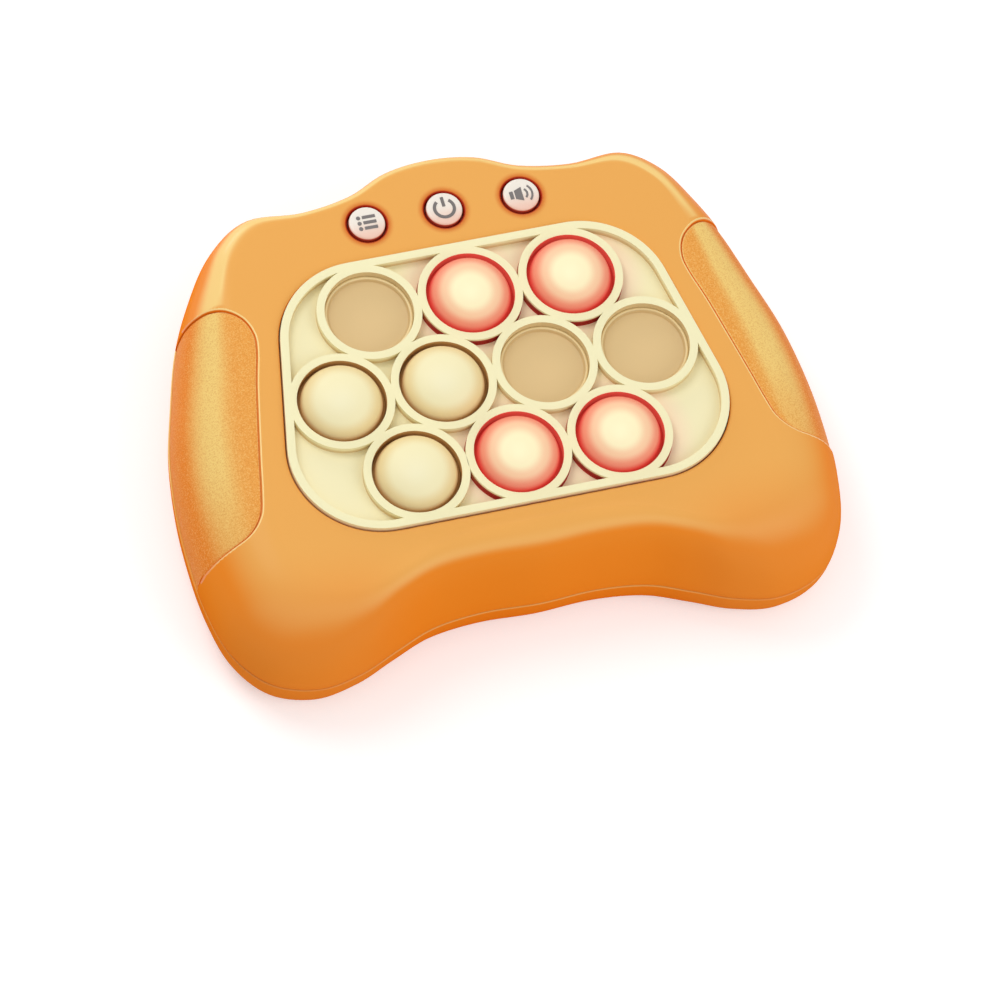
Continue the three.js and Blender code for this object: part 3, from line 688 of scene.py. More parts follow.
materials = {slot: makeFinish(slot, **settings) for slot, settings in finishes.items()}
print("materials made")


# Shell

shell = {
    "beltSide": 80.52,
    "beltReach": 62.717,
    "deckSide": 60.02,
    "deckBack": 58.517,
    "deckFront": 39.517,
    "deckHeight": 34,
    "seamHeight": 12,
    "seamGap": 0.15,
    "seamEdge": 0.25,
    "wall": 2.2,
    "lipInset": 1.25,
    "lipTop": 13.8,
    "grooveInset": 0.95,
    "grooveTop": 14.1,
    "footInset": 6.5,
    "footFullness": 0.9,
    "dip": 0.3,
    "dipFullness": 1.2,
    "dipShares": (0.06, 0.15, 0.3, 0.48, 0.66, 0.82, 0.94),
    "dipStart": -5,
    "dipLength": 30,
    "openingRound": ((0.5, 0), (0.34, 0.03), (0.13, 0.14), (0, 0.5)),
    "buttonHole": ((4.9, 28), (4.9, 33.55), (5, 33.8), (5.2, 33.95), (5.45, 34), (5.6, 34.4), (5.6, 36)),
    "ribs": 280,
    "crownStart": 0.02,
    "crownSteps": 22,
    "liningEnd": 0.14,
    "liningSteps": 9,
    "footEnd": 0.985,
    "footSteps": 10,
    "floorSteps": 6,
}

# Half of the outline from the middle of the back to the middle of the front: the belt's x and y,
# the deck's x and y, how far the wall leans in, and how full its crown is
outlineShares = [
    [0, 1, 0, 1, 0.15, 2],
    [0.143, 0.976, 0.18, 0.977, 0.15, 2],
    [0.274, 0.904, 0.35, 0.9, 0.15, 2],
    [0.428, 0.872, 0.558, 0.865, 0.15, 2],
    [0.602, 0.9, 0.75, 0.851, 0.15, 1.8],
    [0.722, 0.812, 0.875, 0.752, 0.1, 1.3],
    [0.804, 0.664, 0.933, 0.607, 0.05, 1],
    [0.87, 0.494, 0.95, 0.462, 0, 0.85],
    [0.925, 0.279, 0.958, 0.256, 0, 0.8],
    [0.97, 0.072, 0.978, 0.068, 0, 0.8],
    [0.994, -0.144, 1, -0.215, 0, 0.8],
    [1, -0.351, 1.022, -0.519, 0, 0.8],
    [0.99, -0.574, 1.025, -0.797, 0, 0.8],
    [0.95, -0.787, 0.992, -1.013, 0, 0.8],
    [0.858, -0.94, 0.908, -1.152, 0.05, 0.8],
    [0.72, -1, 0.8, -1.215, 0.1, 0.8],
    [0.583, -0.972, 0.692, -1.21, 0.2, 1],
    [0.458, -0.905, 0.567, -1.139, 0.4, 1.5],
    [0.332, -0.843, 0.417, -1.046, 0.42, 2],
    [0.175, -0.82, 0.222, -1.008, 0.38, 2.2],
    [0, -0.829, 0, -1, 0.36, 2.2],
]


# Points on a smooth curve through others, at shares of its length counted in points
def splinePoints(points, shares, closed):
    points = np.asarray(points, float)
    count = len(points)
    spans = shares * (count if closed else count - 1)
    first = np.minimum(np.floor(spans).astype(int), count - (0 if closed else 2))
    part = (spans - first)[:, None]

    def at(index):
        return points[index % count] if closed else points[np.clip(index, 0, count - 1)]

    leaving = (at(first + 1) - at(first - 1)) / 2
    if not closed:
        leaving[first == 0] = (at(first + 1) - at(first))[first == 0] / 2
    arriving = (at(first + 2) - at(first)) / 2
    start, end = at(first), at(first + 1)
    bent = (-3 * start + 3 * end - 2 * leaving - arriving) * part ** 2
    return start + leaving * part + bent + (2 * start - 2 * end + leaving + arriving) * part ** 3


def makeRibs(count):
    belts, decks = [], []
    for beltX, beltY, deckX, deckY, lean, fullness in outlineShares:
        deckReach = shell["deckBack"] if deckY > 0 else shell["deckFront"]
        belts.append((beltX * shell["beltSide"], beltY * shell["beltReach"], lean))
        decks.append((deckX * shell["deckSide"], deckY * deckReach, fullness))
    for half in (belts, decks):
        half += [(-x, y, extra) for x, y, extra in half[-2:0:-1]]
    shares = np.arange(count) / count
    small = 1e-4
    belt, deck = (splinePoints(half, shares, True) for half in (belts, decks))
    ahead, behind = (splinePoints(belts, (shares + step) % 1, True) for step in (small, -small))
    along = (ahead - behind)[:, :2]
    along /= np.linalg.norm(along, axis=1)[:, None]
    inward = np.column_stack((along[:, 1], -along[:, 0]))
    flat = {"belt": belt[:, :2], "deck": deck[:, :2], "inward": inward}
    return {**flat, "lean": belt[:, 2:], "fullness": deck[:, 2:]}


ribs = makeRibs(shell["ribs"])


def flatRing(outline, height):
    return np.column_stack((outline, np.full(len(outline), height)))


def lifted(flat, inset, height):
    return flatRing(flat + ribs["inward"] * inset, height)


# The arc from start to end that bends round corner, fuller with a larger weight
def bend(start, corner, end, weight, share):
    first = (1 - share) ** 2
    middle = 2 * weight * share * (1 - share)
    last = share ** 2
    return (start * first + corner * middle + end * last) / (first + middle + last)


def footRing(inset, share):
    sole = lifted(ribs["belt"], inset + shell["footInset"], inset)
    corner = lifted(ribs["belt"], inset, inset)
    side = lifted(ribs["belt"], inset, shell["seamHeight"])
    return bend(sole, corner, side, shell["footFullness"], share)


def crownRing(inset, share):
    high = shell["deckHeight"] - inset
    leant = ribs["belt"] + (ribs["deck"] - ribs["belt"]) * ribs["lean"]
    side = lifted(ribs["belt"], inset, shell["seamHeight"])
    return bend(side, lifted(leant, inset, high), lifted(ribs["deck"], inset, high), ribs["fullness"], share)


# The foot of the crown, moved to a height
def crownFoot(inset, height):
    ring = crownRing(inset, 0)
    ring[:, 2] = height
    return ring


# The whole crown as a solid, drawn in all round
def crownSolid(name, inset):
    return lofted(name, [crownRing(inset, share) for share in np.linspace(0, 1, shell["crownSteps"])])


# Pad outline: a rounded trapezium, wider at the front

pad = {
    "halfWidth": 52.22,
    "taper": 0.2,
    "back": 36.12,
    "front": 35.22,
    "corner": 21.4,
    "rimWidth": 2,
    "flangeReach": 1.8,
    "underside": 30.2,
    "flangeTop": 31.5,
    "sheetTop": 32.7,
    "ringTop": 35,
    "ringBore": 10.87,
    "ringRadius": 12.82,
    "edgeRound": 0.45,
    "edgeSteps": 4,
    "holeGap": 0.3,
    "boreCutter": (28, 37),
    "arcSteps": 22,
    "lineSteps": 14,
    "ringSides": 96,
}


def padOutline(grow):
    slant = math.atan(pad["taper"])
    corner = pad["corner"]
    backTangent = corner * math.tan(math.pi / 4 - slant / 2)
    frontTangent = corner * math.tan(math.pi / 4 + slant / 2)
    backX = pad["halfWidth"] - pad["taper"] * pad["back"] - backTangent
    frontX = pad["halfWidth"] + pad["taper"] * pad["front"] - frontTangent
    backY = pad["back"] - corner
    frontY = corner - pad["front"]
    arcs = []
    for x, y, first, last in (
        (backX, backY, slant, math.pi / 2),
        (-backX, backY, math.pi / 2, math.pi - slant),
        (-frontX, frontY, math.pi - slant, 1.5 * math.pi),
        (frontX, frontY, 1.5 * math.pi, 2 * math.pi + slant),
    ):
        turns = np.linspace(first, last, pad["arcSteps"] + 1)
        arcs.append([(x + (corner + grow) * math.cos(t), y + (corner + grow) * math.sin(t)) for t in turns])
    outline = []
    for points, after in zip(arcs, arcs[1:] + arcs[:1]):
        outline += points
        for step in range(1, pad["lineSteps"]):
            share = step / pad["lineSteps"]
            outline.append([a + (b - a) * share for a, b in zip(points[-1], after[0])])
    return np.array(outline)


# The deck's opening, met by each rib along the line from the middle
def openingRing(grow, height):
    outline = padOutline(grow)
    angles = np.arctan2(outline[:, 1], outline[:, 0])
    order = np.argsort(angles)
    reach = np.linalg.norm(outline, axis=1)
    wanted = np.arctan2(ribs["deck"][:, 1], ribs["deck"][:, 0])
    radius = np.interp(wanted, angles[order], reach[order], period=2 * math.pi)
    return flatRing(np.column_stack((radius * np.cos(wanted), radius * np.sin(wanted))), height)


# Grips: the edge is in shares of the belt, from the back of a grip to its front

grip = {
    "edge": (
        (1.08, 0.53), (1.0, 0.525), (0.92, 0.52), (0.864, 0.515), (0.82, 0.51), (0.775, 0.5), (0.73, 0.474),
        (0.69, 0.425), (0.672, 0.355), (0.678, 0.28), (0.705, 0.15), (0.733, -0.01), (0.762, -0.18),
        (0.785, -0.32), (0.804, -0.398), (0.846, -0.457), (0.91, -0.484), (1.0, -0.5), (1.08, -0.51),
    ),
    "steps": 130,
    "sink": 0.4,
    "thickness": 0.45,
    "pocketDepth": 0.85,
    "gap": 0.2,
    "foot": 12.3,
    "over": 4,
    "castFrom": 100,
    "leastRise": 0.2,
    "lip": ((0.0, -0.42), (0.1, -0.16), (0.3, -0.03), (0.62, 0.03), (0.7, 0.3)),
    "lipFacing": -0.2,
    "lipAboveSeam": 1,
    "round": ((0.0, -0.4), (-0.08, -0.2), (-0.24, -0.06), (-0.55, 0.02), (-0.6, 0.3)),
}


def gripOutline(grow, side):
    places = np.array(grip["edge"]) * (shell["beltSide"], shell["beltReach"])
    points = splinePoints(places, np.linspace(0, 1, grip["steps"] + 1), False)
    along = np.gradient(points, axis=0)
    along /= np.linalg.norm(along, axis=1)[:, None]
    grown = points + np.column_stack((along[:, 1], -along[:, 0])) * grow
    return grown * (side, 1)


# Height of a piece's top under each point of an outline, and the given height beside it
def heightsOn(piece, outline, beside):
    heights = []
    for x, y in outline:
        above = Vector((x, y, grip["castFrom"])) * mm
        hit, place, facing, face = piece.ray_cast(above, Vector((0, 0, -1)))
        heights.append(place.z / mm if hit else beside)
    return np.array(heights)


# A prism on the grip's outline whose upper edge widens or narrows along the crown below it
def gripPrism(name, grow, side, low, crown, edge):
    rings = [flatRing(gripOutline(grow, side), low)]
    for wider, rise in edge:
        outline = gripOutline(grow + wider, side)
        least = low + grip["leastRise"] + rise / 4
        rings.append(np.column_stack((outline, np.maximum(heightsOn(crown, outline, low) + rise, least))))
    rings.append(flatRing(gripOutline(grow + edge[-1][0], side), shell["deckHeight"] + grip["over"]))
    return lofted(name, rings)


# The faces of the widened edge, between its first ring and its last
def markLip(piece):
    piece.data.materials.append(materials["orange_plastic"])
    # The lip's finish paints a highlight on these faces.
    piece.data.materials.append(materials["lip_plastic"])
    lowest = (shell["seamHeight"] + grip["lipAboveSeam"]) * mm
    for face in piece.data.polygons:
        if face.normal.z < grip["lipFacing"] and face.center.z > lowest:
            face.material_index = 1


def makeUpperHousing():
    opening, wall, top = pad["holeGap"], shell["wall"], shell["deckHeight"]
    seam = shell["seamHeight"] + shell["seamGap"]
    rings = [crownFoot(shell["grooveInset"], seam), crownFoot(shell["seamEdge"], seam)]
    rings += [crownRing(0, share) for share in np.linspace(shell["crownStart"], 1, shell["crownSteps"])]
    deckEdge = crownRing(0, 1)
    hole = [openingRing(opening + grow, top - drop) for grow, drop in shell["openingRound"]]
    frontness = np.clip((shell["dipStart"] - deckEdge[:, 1]) / shell["dipLength"], 0, 1)
    for share in shell["dipShares"]:
        ring = deckEdge + (hole[0] - deckEdge) * share
        ring[:, 2] = top - shell["dip"] * frontness * math.sin(math.pi * share) ** shell["dipFullness"]
        rings.append(ring)
    rings += hole + [openingRing(opening, top - wall)]
    rings += [crownRing(wall, share) for share in np.linspace(1, shell["liningEnd"], shell["liningSteps"])]
    rings += [crownFoot(inset, shell["grooveTop"]) for inset in (wall, shell["grooveInset"])]
    housing = lofted("upperHousing", rings, closed=True)
    for place in buttonPlaces.values():
        cut(housing, turned("buttonHole", place, shell["buttonHole"]))
    crown = crownSolid("crown", 0)
    housing.data.materials.append(materials["orange_plastic"])
    for side in (1, -1):
        pocket = gripPrism("pocket", grip["gap"], side, shell["seamHeight"], crown, grip["lip"])
        markLip(pocket)
        cut(pocket, crownSolid("pocketFloor", grip["pocketDepth"]))
        cut(housing, pocket, finishes="TRANSFER")
    bpy.data.objects.remove(crown)
    return smooth(housing)


def makeGrip(name, side):
    piece = crownSolid(name, grip["sink"])
    crown = crownSolid("crown", grip["sink"])
    cut(piece, crownSolid("gripBack", grip["sink"] + grip["thickness"]))
    edge = gripPrism("gripEdge", 0, side, grip["foot"], crown, grip["round"])
    bpy.data.objects.remove(crown)
    return smooth(cut(piece, edge, "INTERSECT"))


print("shaping the shell")
give(makeUpperHousing(), "orange_plastic", "console", "upper_housing")
for node, side in (("right_grip", 1), ("left_grip", -1)):
    give(makeGrip(camel(node), side), "grip_rubber", "console", node)


# Lower housing with its battery bay, screw posts and grille, and the battery door

floorParts = {
    "inside": 1,
    "bayCentre": -8,
    "bayHalf": (24.45, 16.35),
    "bayCeiling": 13.0,
    "bayWall": 1.5,
    "bayRoof": 1.4,
    "frameMargin": 2.5,
    "frameTop": 4.5,
    "gap": 0.3,
    "screwPost": 4.2,
    "screwFlare": ((3.3, -1), (3.3, 0), (2.95, 0.25), (2.8, 0.6), (2.8, 2.9), (1.6, 2.9), (1.6, 14)),
    "cup": 3.8,
    "cupLow": 0.6,
    "cupTop": 3.9,
    "cupBossWall": 1.4,
    "cupBossTop": 10,
    "pilot": 1.45,
    "pilotTop": 8.9,
    "speaker": (0, 39),
    "speakerRadius": 14,
    "speakerWell": (2.2, 7),
    "collarWall": 1.7,
    "collarTop": 4.8,
    "grilleRings": ((1, 0), (6, 4.4), (10, 8.6)),
    "grilleFlare": ((1.5, -1), (1.5, 0), (1.2, 0.2), (1.1, 0.5), (1.1, 4)),
}

door = {
    "half": (26.95, 26.35),
    "corner": 3,
    "cornerSteps": 6,
    "low": 0.2,
    "top": 2.0,
    "cutterLow": -2,
    "edgeRound": 0.35,
    "tabHalf": 4.5,
    "tabReach": 1.6,
    "tabRoot": 2,
    "tabX": 13,
    "screwFlare": ((3.25, -1), (3.25, 0.2), (2.95, 0.4), (2.8, 0.7), (2.8, 2.9), (1.6, 2.9), (1.6, 6)),
    "grooves": 4,
    "firstGroove": 17,
    "groovePitch": 2.6,
    "grooveRadius": 1.3,
    "grooveHalf": 11,
    "grooveSink": 0.55,
}

screwNodes = [f"case_screw_{number}" for number in range(1, 7)]
doorScrew = centreOf("battery_door_screw")


# A block about the middle of the battery bay
def bayBlock(name, half, grow, low, high):
    x, y, centre = half[0] + grow, half[1] + grow, floorParts["bayCentre"]
    return block(name, (-x, centre - y, low), (x, centre + y, high))


def isUpright(edge):
    return abs((edge.verts[0].co - edge.verts[1].co).z) > mm / 2


def doorPlate(name, grow, low, high):
    plate = bayBlock(name, door["half"], grow, low, high)
    bevelEdges(plate, door["corner"] + grow, door["cornerSteps"], isUpright)
    back = floorParts["bayCentre"] + door["half"][1]
    root, reach = back - door["tabRoot"], back + door["tabReach"] + grow
    for x in (door["tabX"], -door["tabX"]):
        left, right = x - door["tabHalf"] - grow, x + door["tabHalf"] + grow
        join(plate, block("tab", (left, root, low), (right, reach, high)))
    return plate


def makeLowerHousing():
    p = floorParts
    low, gap = p["inside"], p["gap"]
    seam = shell["seamHeight"] - shell["seamGap"]
    rings = [footRing(0, share) for share in np.linspace(0, shell["footEnd"], shell["footSteps"])]
    rings += [crownFoot(shell[inset], seam) for inset in ("seamEdge", "lipInset")]
    rings += [crownFoot(shell[inset], shell["lipTop"]) for inset in ("lipInset", "wall")]
    rings += [footRing(shell["wall"], share) for share in np.linspace(1, 0, shell["floorSteps"])]
    housing = lofted("lowerHousing", rings)
    join(housing, bayBlock("frame", door["half"], p["frameMargin"], low, p["frameTop"]))
    join(housing, bayBlock("bay", p["bayHalf"], p["bayWall"], low, p["bayCeiling"] + p["bayRoof"]))
    join(housing, post("cupBoss", doorScrew, p["cup"] + p["cupBossWall"], low, p["cupBossTop"]))
    for node in screwNodes:
        join(housing, post("screwPost", centreOf(node), p["screwPost"], low, seam))
    join(housing, post("collar", p["speaker"], p["speakerRadius"] + p["collarWall"], low, p["collarTop"], 64))
    cut(housing, post("speakerWell", p["speaker"], p["speakerRadius"] + gap, *p["speakerWell"], 64))
    cut(housing, bayBlock("bayInside", p["bayHalf"], 0, low, p["bayCeiling"]))
    cut(housing, doorPlate("doorRecess", gap, door["cutterLow"], door["top"] + gap))
    cut(housing, post("cupRecess", doorScrew, p["cup"] + gap, door["cutterLow"], p["cupTop"] + gap))
    cut(housing, post("pilot", doorScrew, p["pilot"], 0, p["pilotTop"], 24))
    for node in screwNodes:
        cut(housing, turned("screwRecess", centreOf(node), p["screwFlare"], 40))
    for count, radius in p["grilleRings"]:
        for place in circle(p["speaker"], radius, 0, count):
            cut(housing, turned("grilleHole", place[:2], p["grilleFlare"], 24))
    return smooth(housing)


def makeBatteryDoor():
    p = floorParts
    plate = doorPlate("batteryDoor", 0, door["low"], door["top"])
    bevelEdges(plate, door["edgeRound"], 3, lambda edge: isLevelAt(edge, door["low"]))
    join(plate, post("cup", doorScrew, p["cup"], p["cupLow"], p["cupTop"], 48))
    cut(plate, turned("doorScrewRecess", doorScrew, door["screwFlare"], 48))
    half = door["grooveHalf"]
    for index in range(door["grooves"]):
        y = p["bayCentre"] + door["firstGroove"] - index * door["groovePitch"]
        groove = post("groove", (0, 0), door["grooveRadius"], -half, half, 24)
        groove.rotation_euler = (0, math.pi / 2, 0)
        groove.location = (0, y * mm, -door["grooveSink"] * mm)
        cut(plate, bakePlace(groove))
    return smooth(plate)


give(makeLowerHousing(), "orange_plastic", "console", "lower_housing")
give(makeBatteryDoor(), "orange_plastic", "battery_door", "battery_door")
print("shell made")


# Silicone pad

def makePad():
    flange, rim, sides = pad["flangeReach"], pad["rimWidth"], pad["ringSides"]
    steps = (
        (flange, "underside"),
        (flange, "flangeTop"),
        (0, "flangeTop"),
        (0, "ringTop"),
        (-rim, "ringTop"),
        (-rim, "sheetTop"),
    )
    piece = lofted("bubblePad", [flatRing(padOutline(grow), pad[height]) for grow, height in steps])
    for place in bubblePlaces.values():
        join(piece, post("ring", place, pad["ringRadius"], pad["flangeTop"], pad["ringTop"], sides))
    for place in bubblePlaces.values():
        cut(piece, post("bore", place, pad["ringBore"], *pad["boreCutter"], sides))
    bevelEdges(piece, pad["edgeRound"], pad["edgeSteps"], isTopEdge)
    return smooth(piece)


def isTopEdge(edge):
    return isLevelAt(edge, pad["ringTop"]) and any(abs(face.normal.z) < 0.5 for face in edge.link_faces)


give(makePad(), "cream_silicone", "console", "bubble_pad")
print("pad made")


# Bubbles

bubble = {
    "skirt": 10.8,
    "skirtInside": 10,
    "skirtFoot": 31.2,
    "skirtTop": 32.4,
    "skirtRound": 0.1,
    "seat": 0.15,
    "edge": 10.1,
    "fullness": 2.15,
    "apex": 39.7,
    "travel": 12,
    "dishRim": 33.0,
    "dishEdge": 10.0,
    "dishBottom": 31.8,
    "rimInner": ((0.12, 0.06), (0, 0), (-0.3, -0.5)),  # out from the dish's edge, and up
    "rimOuter": ((0, -0.05), (-0.25, 0.12), (-0.45, 0.16)),  # out from the skirt, and up
    "stemUp": ((2, 32.5), (2, 38.2), (1.6, 38.4)),
    "stemDown": ((2, 20.5), (2, 26.2), (1.6, 26.35)),
    # Where the painted highlight's middle sits, off a raised dome's axis
    "shine": (-1.3, -2.5),
    "smoothing": 60,
    "steps": 22,
    "sides": 72,
}


# Half of a full oval from its edge to its middle, as radius and height
def oval(radius, low, high, fullness, steps):
    points = []
    for step in range(steps + 1):
        turn = step / steps * math.pi / 2
        across = 0 if step == steps else radius * math.cos(turn) ** (2 / fullness)
        points.append((across, low + (high - low) * math.sin(turn) ** (2 / fullness)))
    return points


def eased(share):
    return share * share * (3 - 2 * share)


# The share where an easing curve, less a straight slope, first comes to a value
def shareWhere(reaches, value):
    low, high = 0.0, 1.0
    for halving in range(40):
        middle = (low + high) / 2
        if reaches(middle) < value:
            low = middle
        else:
            high = middle
    return low


# Where the dish's blend ends, so that its middle comes up to the height of a raised bubble's
def dishBlendEnd():
    b = bubble
    wanted = (b["apex"] - b["dishBottom"]) / b["travel"]
    return b["dishRim"] - (b["dishRim"] - b["dishBottom"]) / shareWhere(eased, wanted)


def raisedProfile():
    b = bubble
    return [
        (b["skirtInside"], b["skirtFoot"]),
        (b["skirt"], b["skirtFoot"]),
        (b["skirt"], b["skirtTop"] - b["skirtRound"]),
        (b["skirt"] - b["skirtRound"], b["skirtTop"]),
        (b["edge"] + b["seat"], b["skirtTop"]),
        *oval(b["edge"], b["skirtTop"] + b["skirtRound"], b["apex"], b["fullness"], b["steps"]),
    ]


# A shallow dish, shaped so that moving each point up by the travel, eased from the rim to the blend's end,
# would make a full dome
def pressedProfile():
    b = bubble
    rim, span = b["dishRim"], b["dishRim"] - dishBlendEnd()
    dish = []
    for radius, height in oval(b["dishEdge"], rim, b["apex"], b["fullness"], b["steps"]):
        share = shareWhere(lambda part: rim - span * part + b["travel"] * eased(part), height)
        dish.append((radius, rim - span * share))
    return dish


# The still rim round a dish
def rimProfile():
    b = bubble
    inner = [(b["dishEdge"] + out, b["dishRim"] + up) for out, up in b["rimInner"]]
    outer = [(b["skirt"] + out, b["dishRim"] + up) for out, up in b["rimOuter"]]
    return [*inner, (inner[-1][0], b["skirtFoot"]), (b["skirt"], b["skirtFoot"]), *outer]


# The skin's middle faces up
def turnUp(piece):
    middle = min(piece.data.polygons, key=lambda face: math.hypot(face.center.x, face.center.y))
    if middle.normal.z < 0:
        startEditing(piece)
        bpy.ops.mesh.flip_normals()
        stopEditing()


# The share of the way from a middle, which can be moved off the axis, to the skirt
def keepSpread(piece, place, aside=(0, 0)):
    points = np.array([vertex.co for vertex in piece.data.vertices])[:, :2] / mm - place - aside
    reach = bubble["skirt"] ** 2 - np.dot(aside, aside)
    slope = points @ np.array(aside, float)
    share = (slope + np.sqrt(slope ** 2 + reach * (points ** 2).sum(axis=1))) / reach
    spread = piece.data.attributes.new("spread", "FLOAT", "POINT")
    spread.data.foreach_set("value", share.astype(np.float32))


def makeBubbles():
    b = bubble
    middle = (0, 0)
    raised = turned("raisedBubble", middle, raisedProfile(), b["sides"], footed=False)
    pressed = turned("pressedBubble", middle, pressedProfile(), b["sides"], footed=False)
    rimRings = [circle(middle, radius, height, b["sides"]) for radius, height in rimProfile()]
    rim = lofted("dishRim", rimRings, closed=True)
    for skin in (raised, pressed):
        turnUp(skin)
    for skin, aside in ((raised, b["shine"]), (pressed, middle), (rim, middle)):
        smooth(skin, b["smoothing"])
        keepSpread(skin, middle, aside)
    stemUp = turned("stemUp", middle, b["stemUp"], 24)
    stemDown = turned("stemDown", middle, b["stemDown"], 24)
    for number, place in bubblePlaces.items():
        node = f"bubble_{number}"
        kind = next(kind for kind, numbers in bubbleKinds.items() if number in numbers)
        slot = f"{kind}_silicone"
        isPressed = kind == "pressed"
        skin = copyOf(pressed if isPressed else raised, f"bubbleSkin{number}", place)
        give(skin, slot, None, node)
        start, end = (b["dishRim"], dishBlendEnd()) if isPressed else (b["skirtTop"], b["apex"])
        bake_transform(skin)
        if isPressed:
            give(copyOf(rim, f"dishRim{number}", place), slot, "console")
        stem = copyOf(stemDown if isPressed else stemUp, f"bubbleStem{number}", place)
        give(smooth(stem), slot, node)
        keepSpread(stem, place)
    for spare in (raised, pressed, rim, stemUp, stemDown):
        bpy.data.objects.remove(spare)


makeBubbles()
print("bubbles made")


# Buttons and their raised marks

button = {
    "radius": 4.47,
    "flange": 5.87,
    "flangeLow": 30.3,
    "flangeTop": 31.5,
    "foot": 28.8,
    "plunger": 1.6,
    "top": 34.7,
    "crown": 0.1,
    "crownShares": (0.75, 0.5, 0.25, 0),
    "edge": 0.6,
    "markLift": 0.09,
    "markSink": 0.2,
}


# Height of the crowned cap at a distance from its middle
def capHeight(away):
    share = min(1, away / (button["radius"] - button["edge"]))
    return button["top"] + button["crown"] * (1 - share ** 2)


def buttonProfile():
    b = button
    flat = b["radius"] - b["edge"]
    return [
        (b["plunger"], b["foot"]),
        (b["plunger"], b["flangeLow"]),
        (b["flange"], b["flangeLow"]),
        (b["flange"], b["flangeTop"]),
        (b["radius"], b["flangeTop"]),
        *quarter((flat, b["top"] - b["edge"]), b["edge"], 0, 90, 5),
        *((flat * share, capHeight(flat * share)) for share in b["crownShares"]),
    ]


# A flat mark: a closed outline about the button's middle, laid on the cap
def markPiece(outline):
    points = [(x, y, capHeight(math.hypot(x, y))) for x, y in outline]
    lifts = (-button["markSink"], button["markLift"])
    return lofted("mark", [[(x, y, z + lift) for x, y, z in points] for lift in lifts])


def dot(x, y, radius, sides=20):
    return circle((x, y), radius, 0, sides)[:, :2]


def bar(left, right, low, high, corner=0.12):
    points = []
    for x, y, first in (
        (right - corner, high - corner, 0),
        (left + corner, high - corner, 90),
        (left + corner, low + corner, 180),
        (right - corner, low + corner, 270),
    ):
        points += quarter((x, y), corner, first, first + 90, 3)
    return points


def arc(radius, width, first, last, steps=26):
    outer = quarter((0, 0), radius, first, last, steps)
    return outer + quarter((0, 0), radius - width, last, first, steps)


listRows = (1.5, 0, -1.5)
marks = {
    "mode_button": [dot(-1.9, y, 0.52) for y in listRows]
    + [bar(-0.95, 2.35, y - 0.42, y + 0.42) for y in listRows],
    "power_button": [arc(2.85, 0.8, 128, 412), bar(-0.4, 0.4, 0.45, 3.1)],
    "volume_button": [
        bar(-2.9, -1.95, -1.05, 1.05),
        [(-1.6, 1.15), (-1.6, -1.15), (0.3, -1.9), (0.3, 1.9)],
        arc(1.75, 0.5, -50, 50, 14),
        arc(3.0, 0.5, -46, 46, 18),
    ],
}


def makeButtons():
    cap = smooth(turned("cap", (0, 0), buttonProfile()))
    for name, place in buttonPlaces.items():
        give(copyOf(cap, camel(name), place), "white_plastic", name, name)
        for index, outline in enumerate(marks[name]):
            mark = markPiece(outline)
            mark.name = f"{name.split('_')[0]}Mark{index + 1}"
            mark.location = (place[0] * mm, place[1] * mm, 0)
            give(smooth(bakePlace(mark)), "white_plastic", name, finish="icon_ink")
    bpy.data.objects.remove(cap)


makeButtons()
print("buttons made")


# Screws: a turned head with a cross cut in it

screw = {
    "head": 2.5,
    "headLow": 0.8,
    "headTop": 2.6,
    "headRound": 0.5,
    "headFlat": 1.2,
    "shank": 1.3,
    "threadStart": 0.4,
    "threadPitch": 0.9,
    "threadDepth": 0.22,
    "threadRise": 0.35,
    "tipLength": 1.4,
    "taper": 1,
    "taperInset": 0.2,
    "tip": 0.4,
    "crossReach": 1.6,
    "crossHalf": 0.35,
    "crossDepth": 1.0,
}


def makeScrew(name, node):
    s = screw
    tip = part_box(node)[1].z / mm
    shank, rise, curve, low = s["shank"], s["threadRise"], s["headRound"], s["headLow"]
    profile = [
        (s["headFlat"], low),
        *quarter((s["head"] - curve, low + curve), curve, -90, 0, 4),
        (s["head"], s["headTop"]),
        (shank, s["headTop"]),
    ]
    height = s["headTop"] + s["threadStart"]
    while height < tip - s["tipLength"]:
        profile += [(shank, height), (shank - s["threadDepth"], height + rise), (shank, height + 2 * rise)]
        height += s["threadPitch"]
    profile += [(shank - s["taperInset"], tip - s["taper"]), (s["tip"], tip)]
    piece = turned(name, (0, 0), profile, 40)
    for x, y in ((s["crossReach"], s["crossHalf"]), (s["crossHalf"], s["crossReach"])):
        cut(piece, block("cross", (-x, -y, low - s["crossDepth"]), (x, y, low + s["crossDepth"])))
    return smooth(piece)


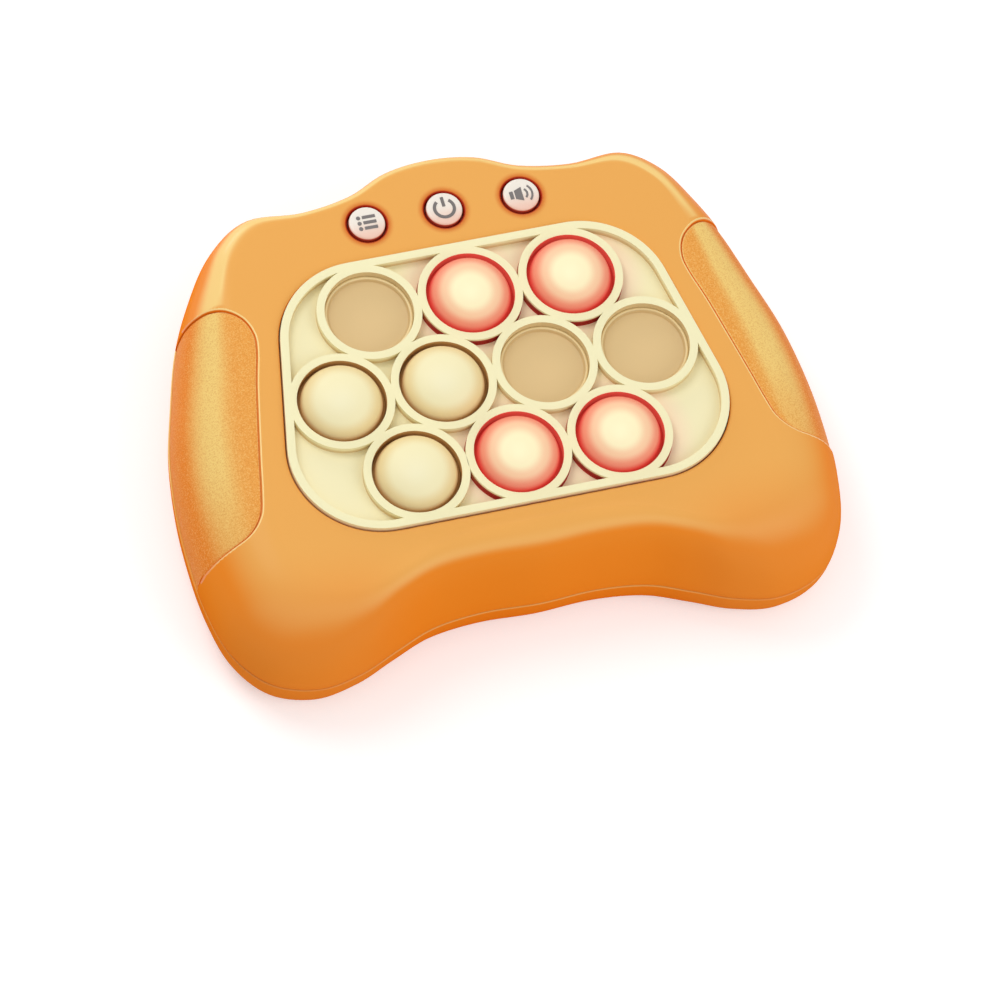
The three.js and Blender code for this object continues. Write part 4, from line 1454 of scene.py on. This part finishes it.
def makeScrews():
    long = makeScrew("longScrew", "case_screw_1")
    for number, node in enumerate(screwNodes, 1):
        give(copyOf(long, f"caseScrew{number}", centreOf(node)), "steel", "console", node)
    short = makeScrew("shortScrew", "battery_door_screw")
    give(copyOf(short, "doorScrew", doorScrew), "steel", "battery_door", "battery_door_screw")
    for spare in (long, short):
        bpy.data.objects.remove(spare)


makeScrews()


# Battery cells, lying head to tail

cell = {
    "radius": 5.2,
    "half": 22.25,
    "rounding": ((0.9, 0), (0.5, 0.02), (0.1, 0.3), (0, 0.7)),  # in from the side, and from the end
    "recess": 1.4,
    "nub": 1.9,
    "nubReach": 1.0,
    "nubRound": 0.2,
    "nubTopRound": 0.3,
}


def makeCells():
    c = cell
    radius, half, nub, soft = c["radius"], c["half"], c["nub"], c["nubRound"]
    profile = [
        *((radius - inset, rise - half) for inset, rise in c["rounding"]),
        *((radius - inset, half - rise) for inset, rise in c["rounding"][:0:-1]),
        (radius - c["recess"], half),
        (nub + soft, half),
        (nub, half + soft),
        (nub, half + c["nubReach"] - soft),
        (nub - c["nubTopRound"], half + c["nubReach"]),
    ]
    standing = turned("cell", (0, 0), profile, 56)
    for number in (1, 2, 3):
        node = f"battery_cell_{number}"
        turn = math.pi / 2 if number % 2 else -math.pi / 2
        piece = copyOf(standing, camel(node), (0, *middleOf(node)[1:]), turn)
        give(smooth(piece), "cell_jacket", "console", node)
    bpy.data.objects.remove(standing)


makeCells()
print("screws and cells made")


# Finishes of the pieces that keep their own shape, by how their names start

nodeFinishes = {
    "well_plastic": ("light_well_plate",),
    "circuit_board": ("main_board", "button_board"),
    "black_plastic": ("bubble_switch", "button_switch", "speaker", "controller_chip"),
    "led_lens": ("led",),
    "steel": ("right_battery_contact", "left_battery_contact"),
}

for name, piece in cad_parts.items():
    if piece.hide_render:
        continue
    finish = next(finish for finish, starts in nodeFinishes.items() if name.startswith(starts))
    piece.data.materials.clear()
    piece.data.materials.append(materials[finish])
print("kept pieces finished")
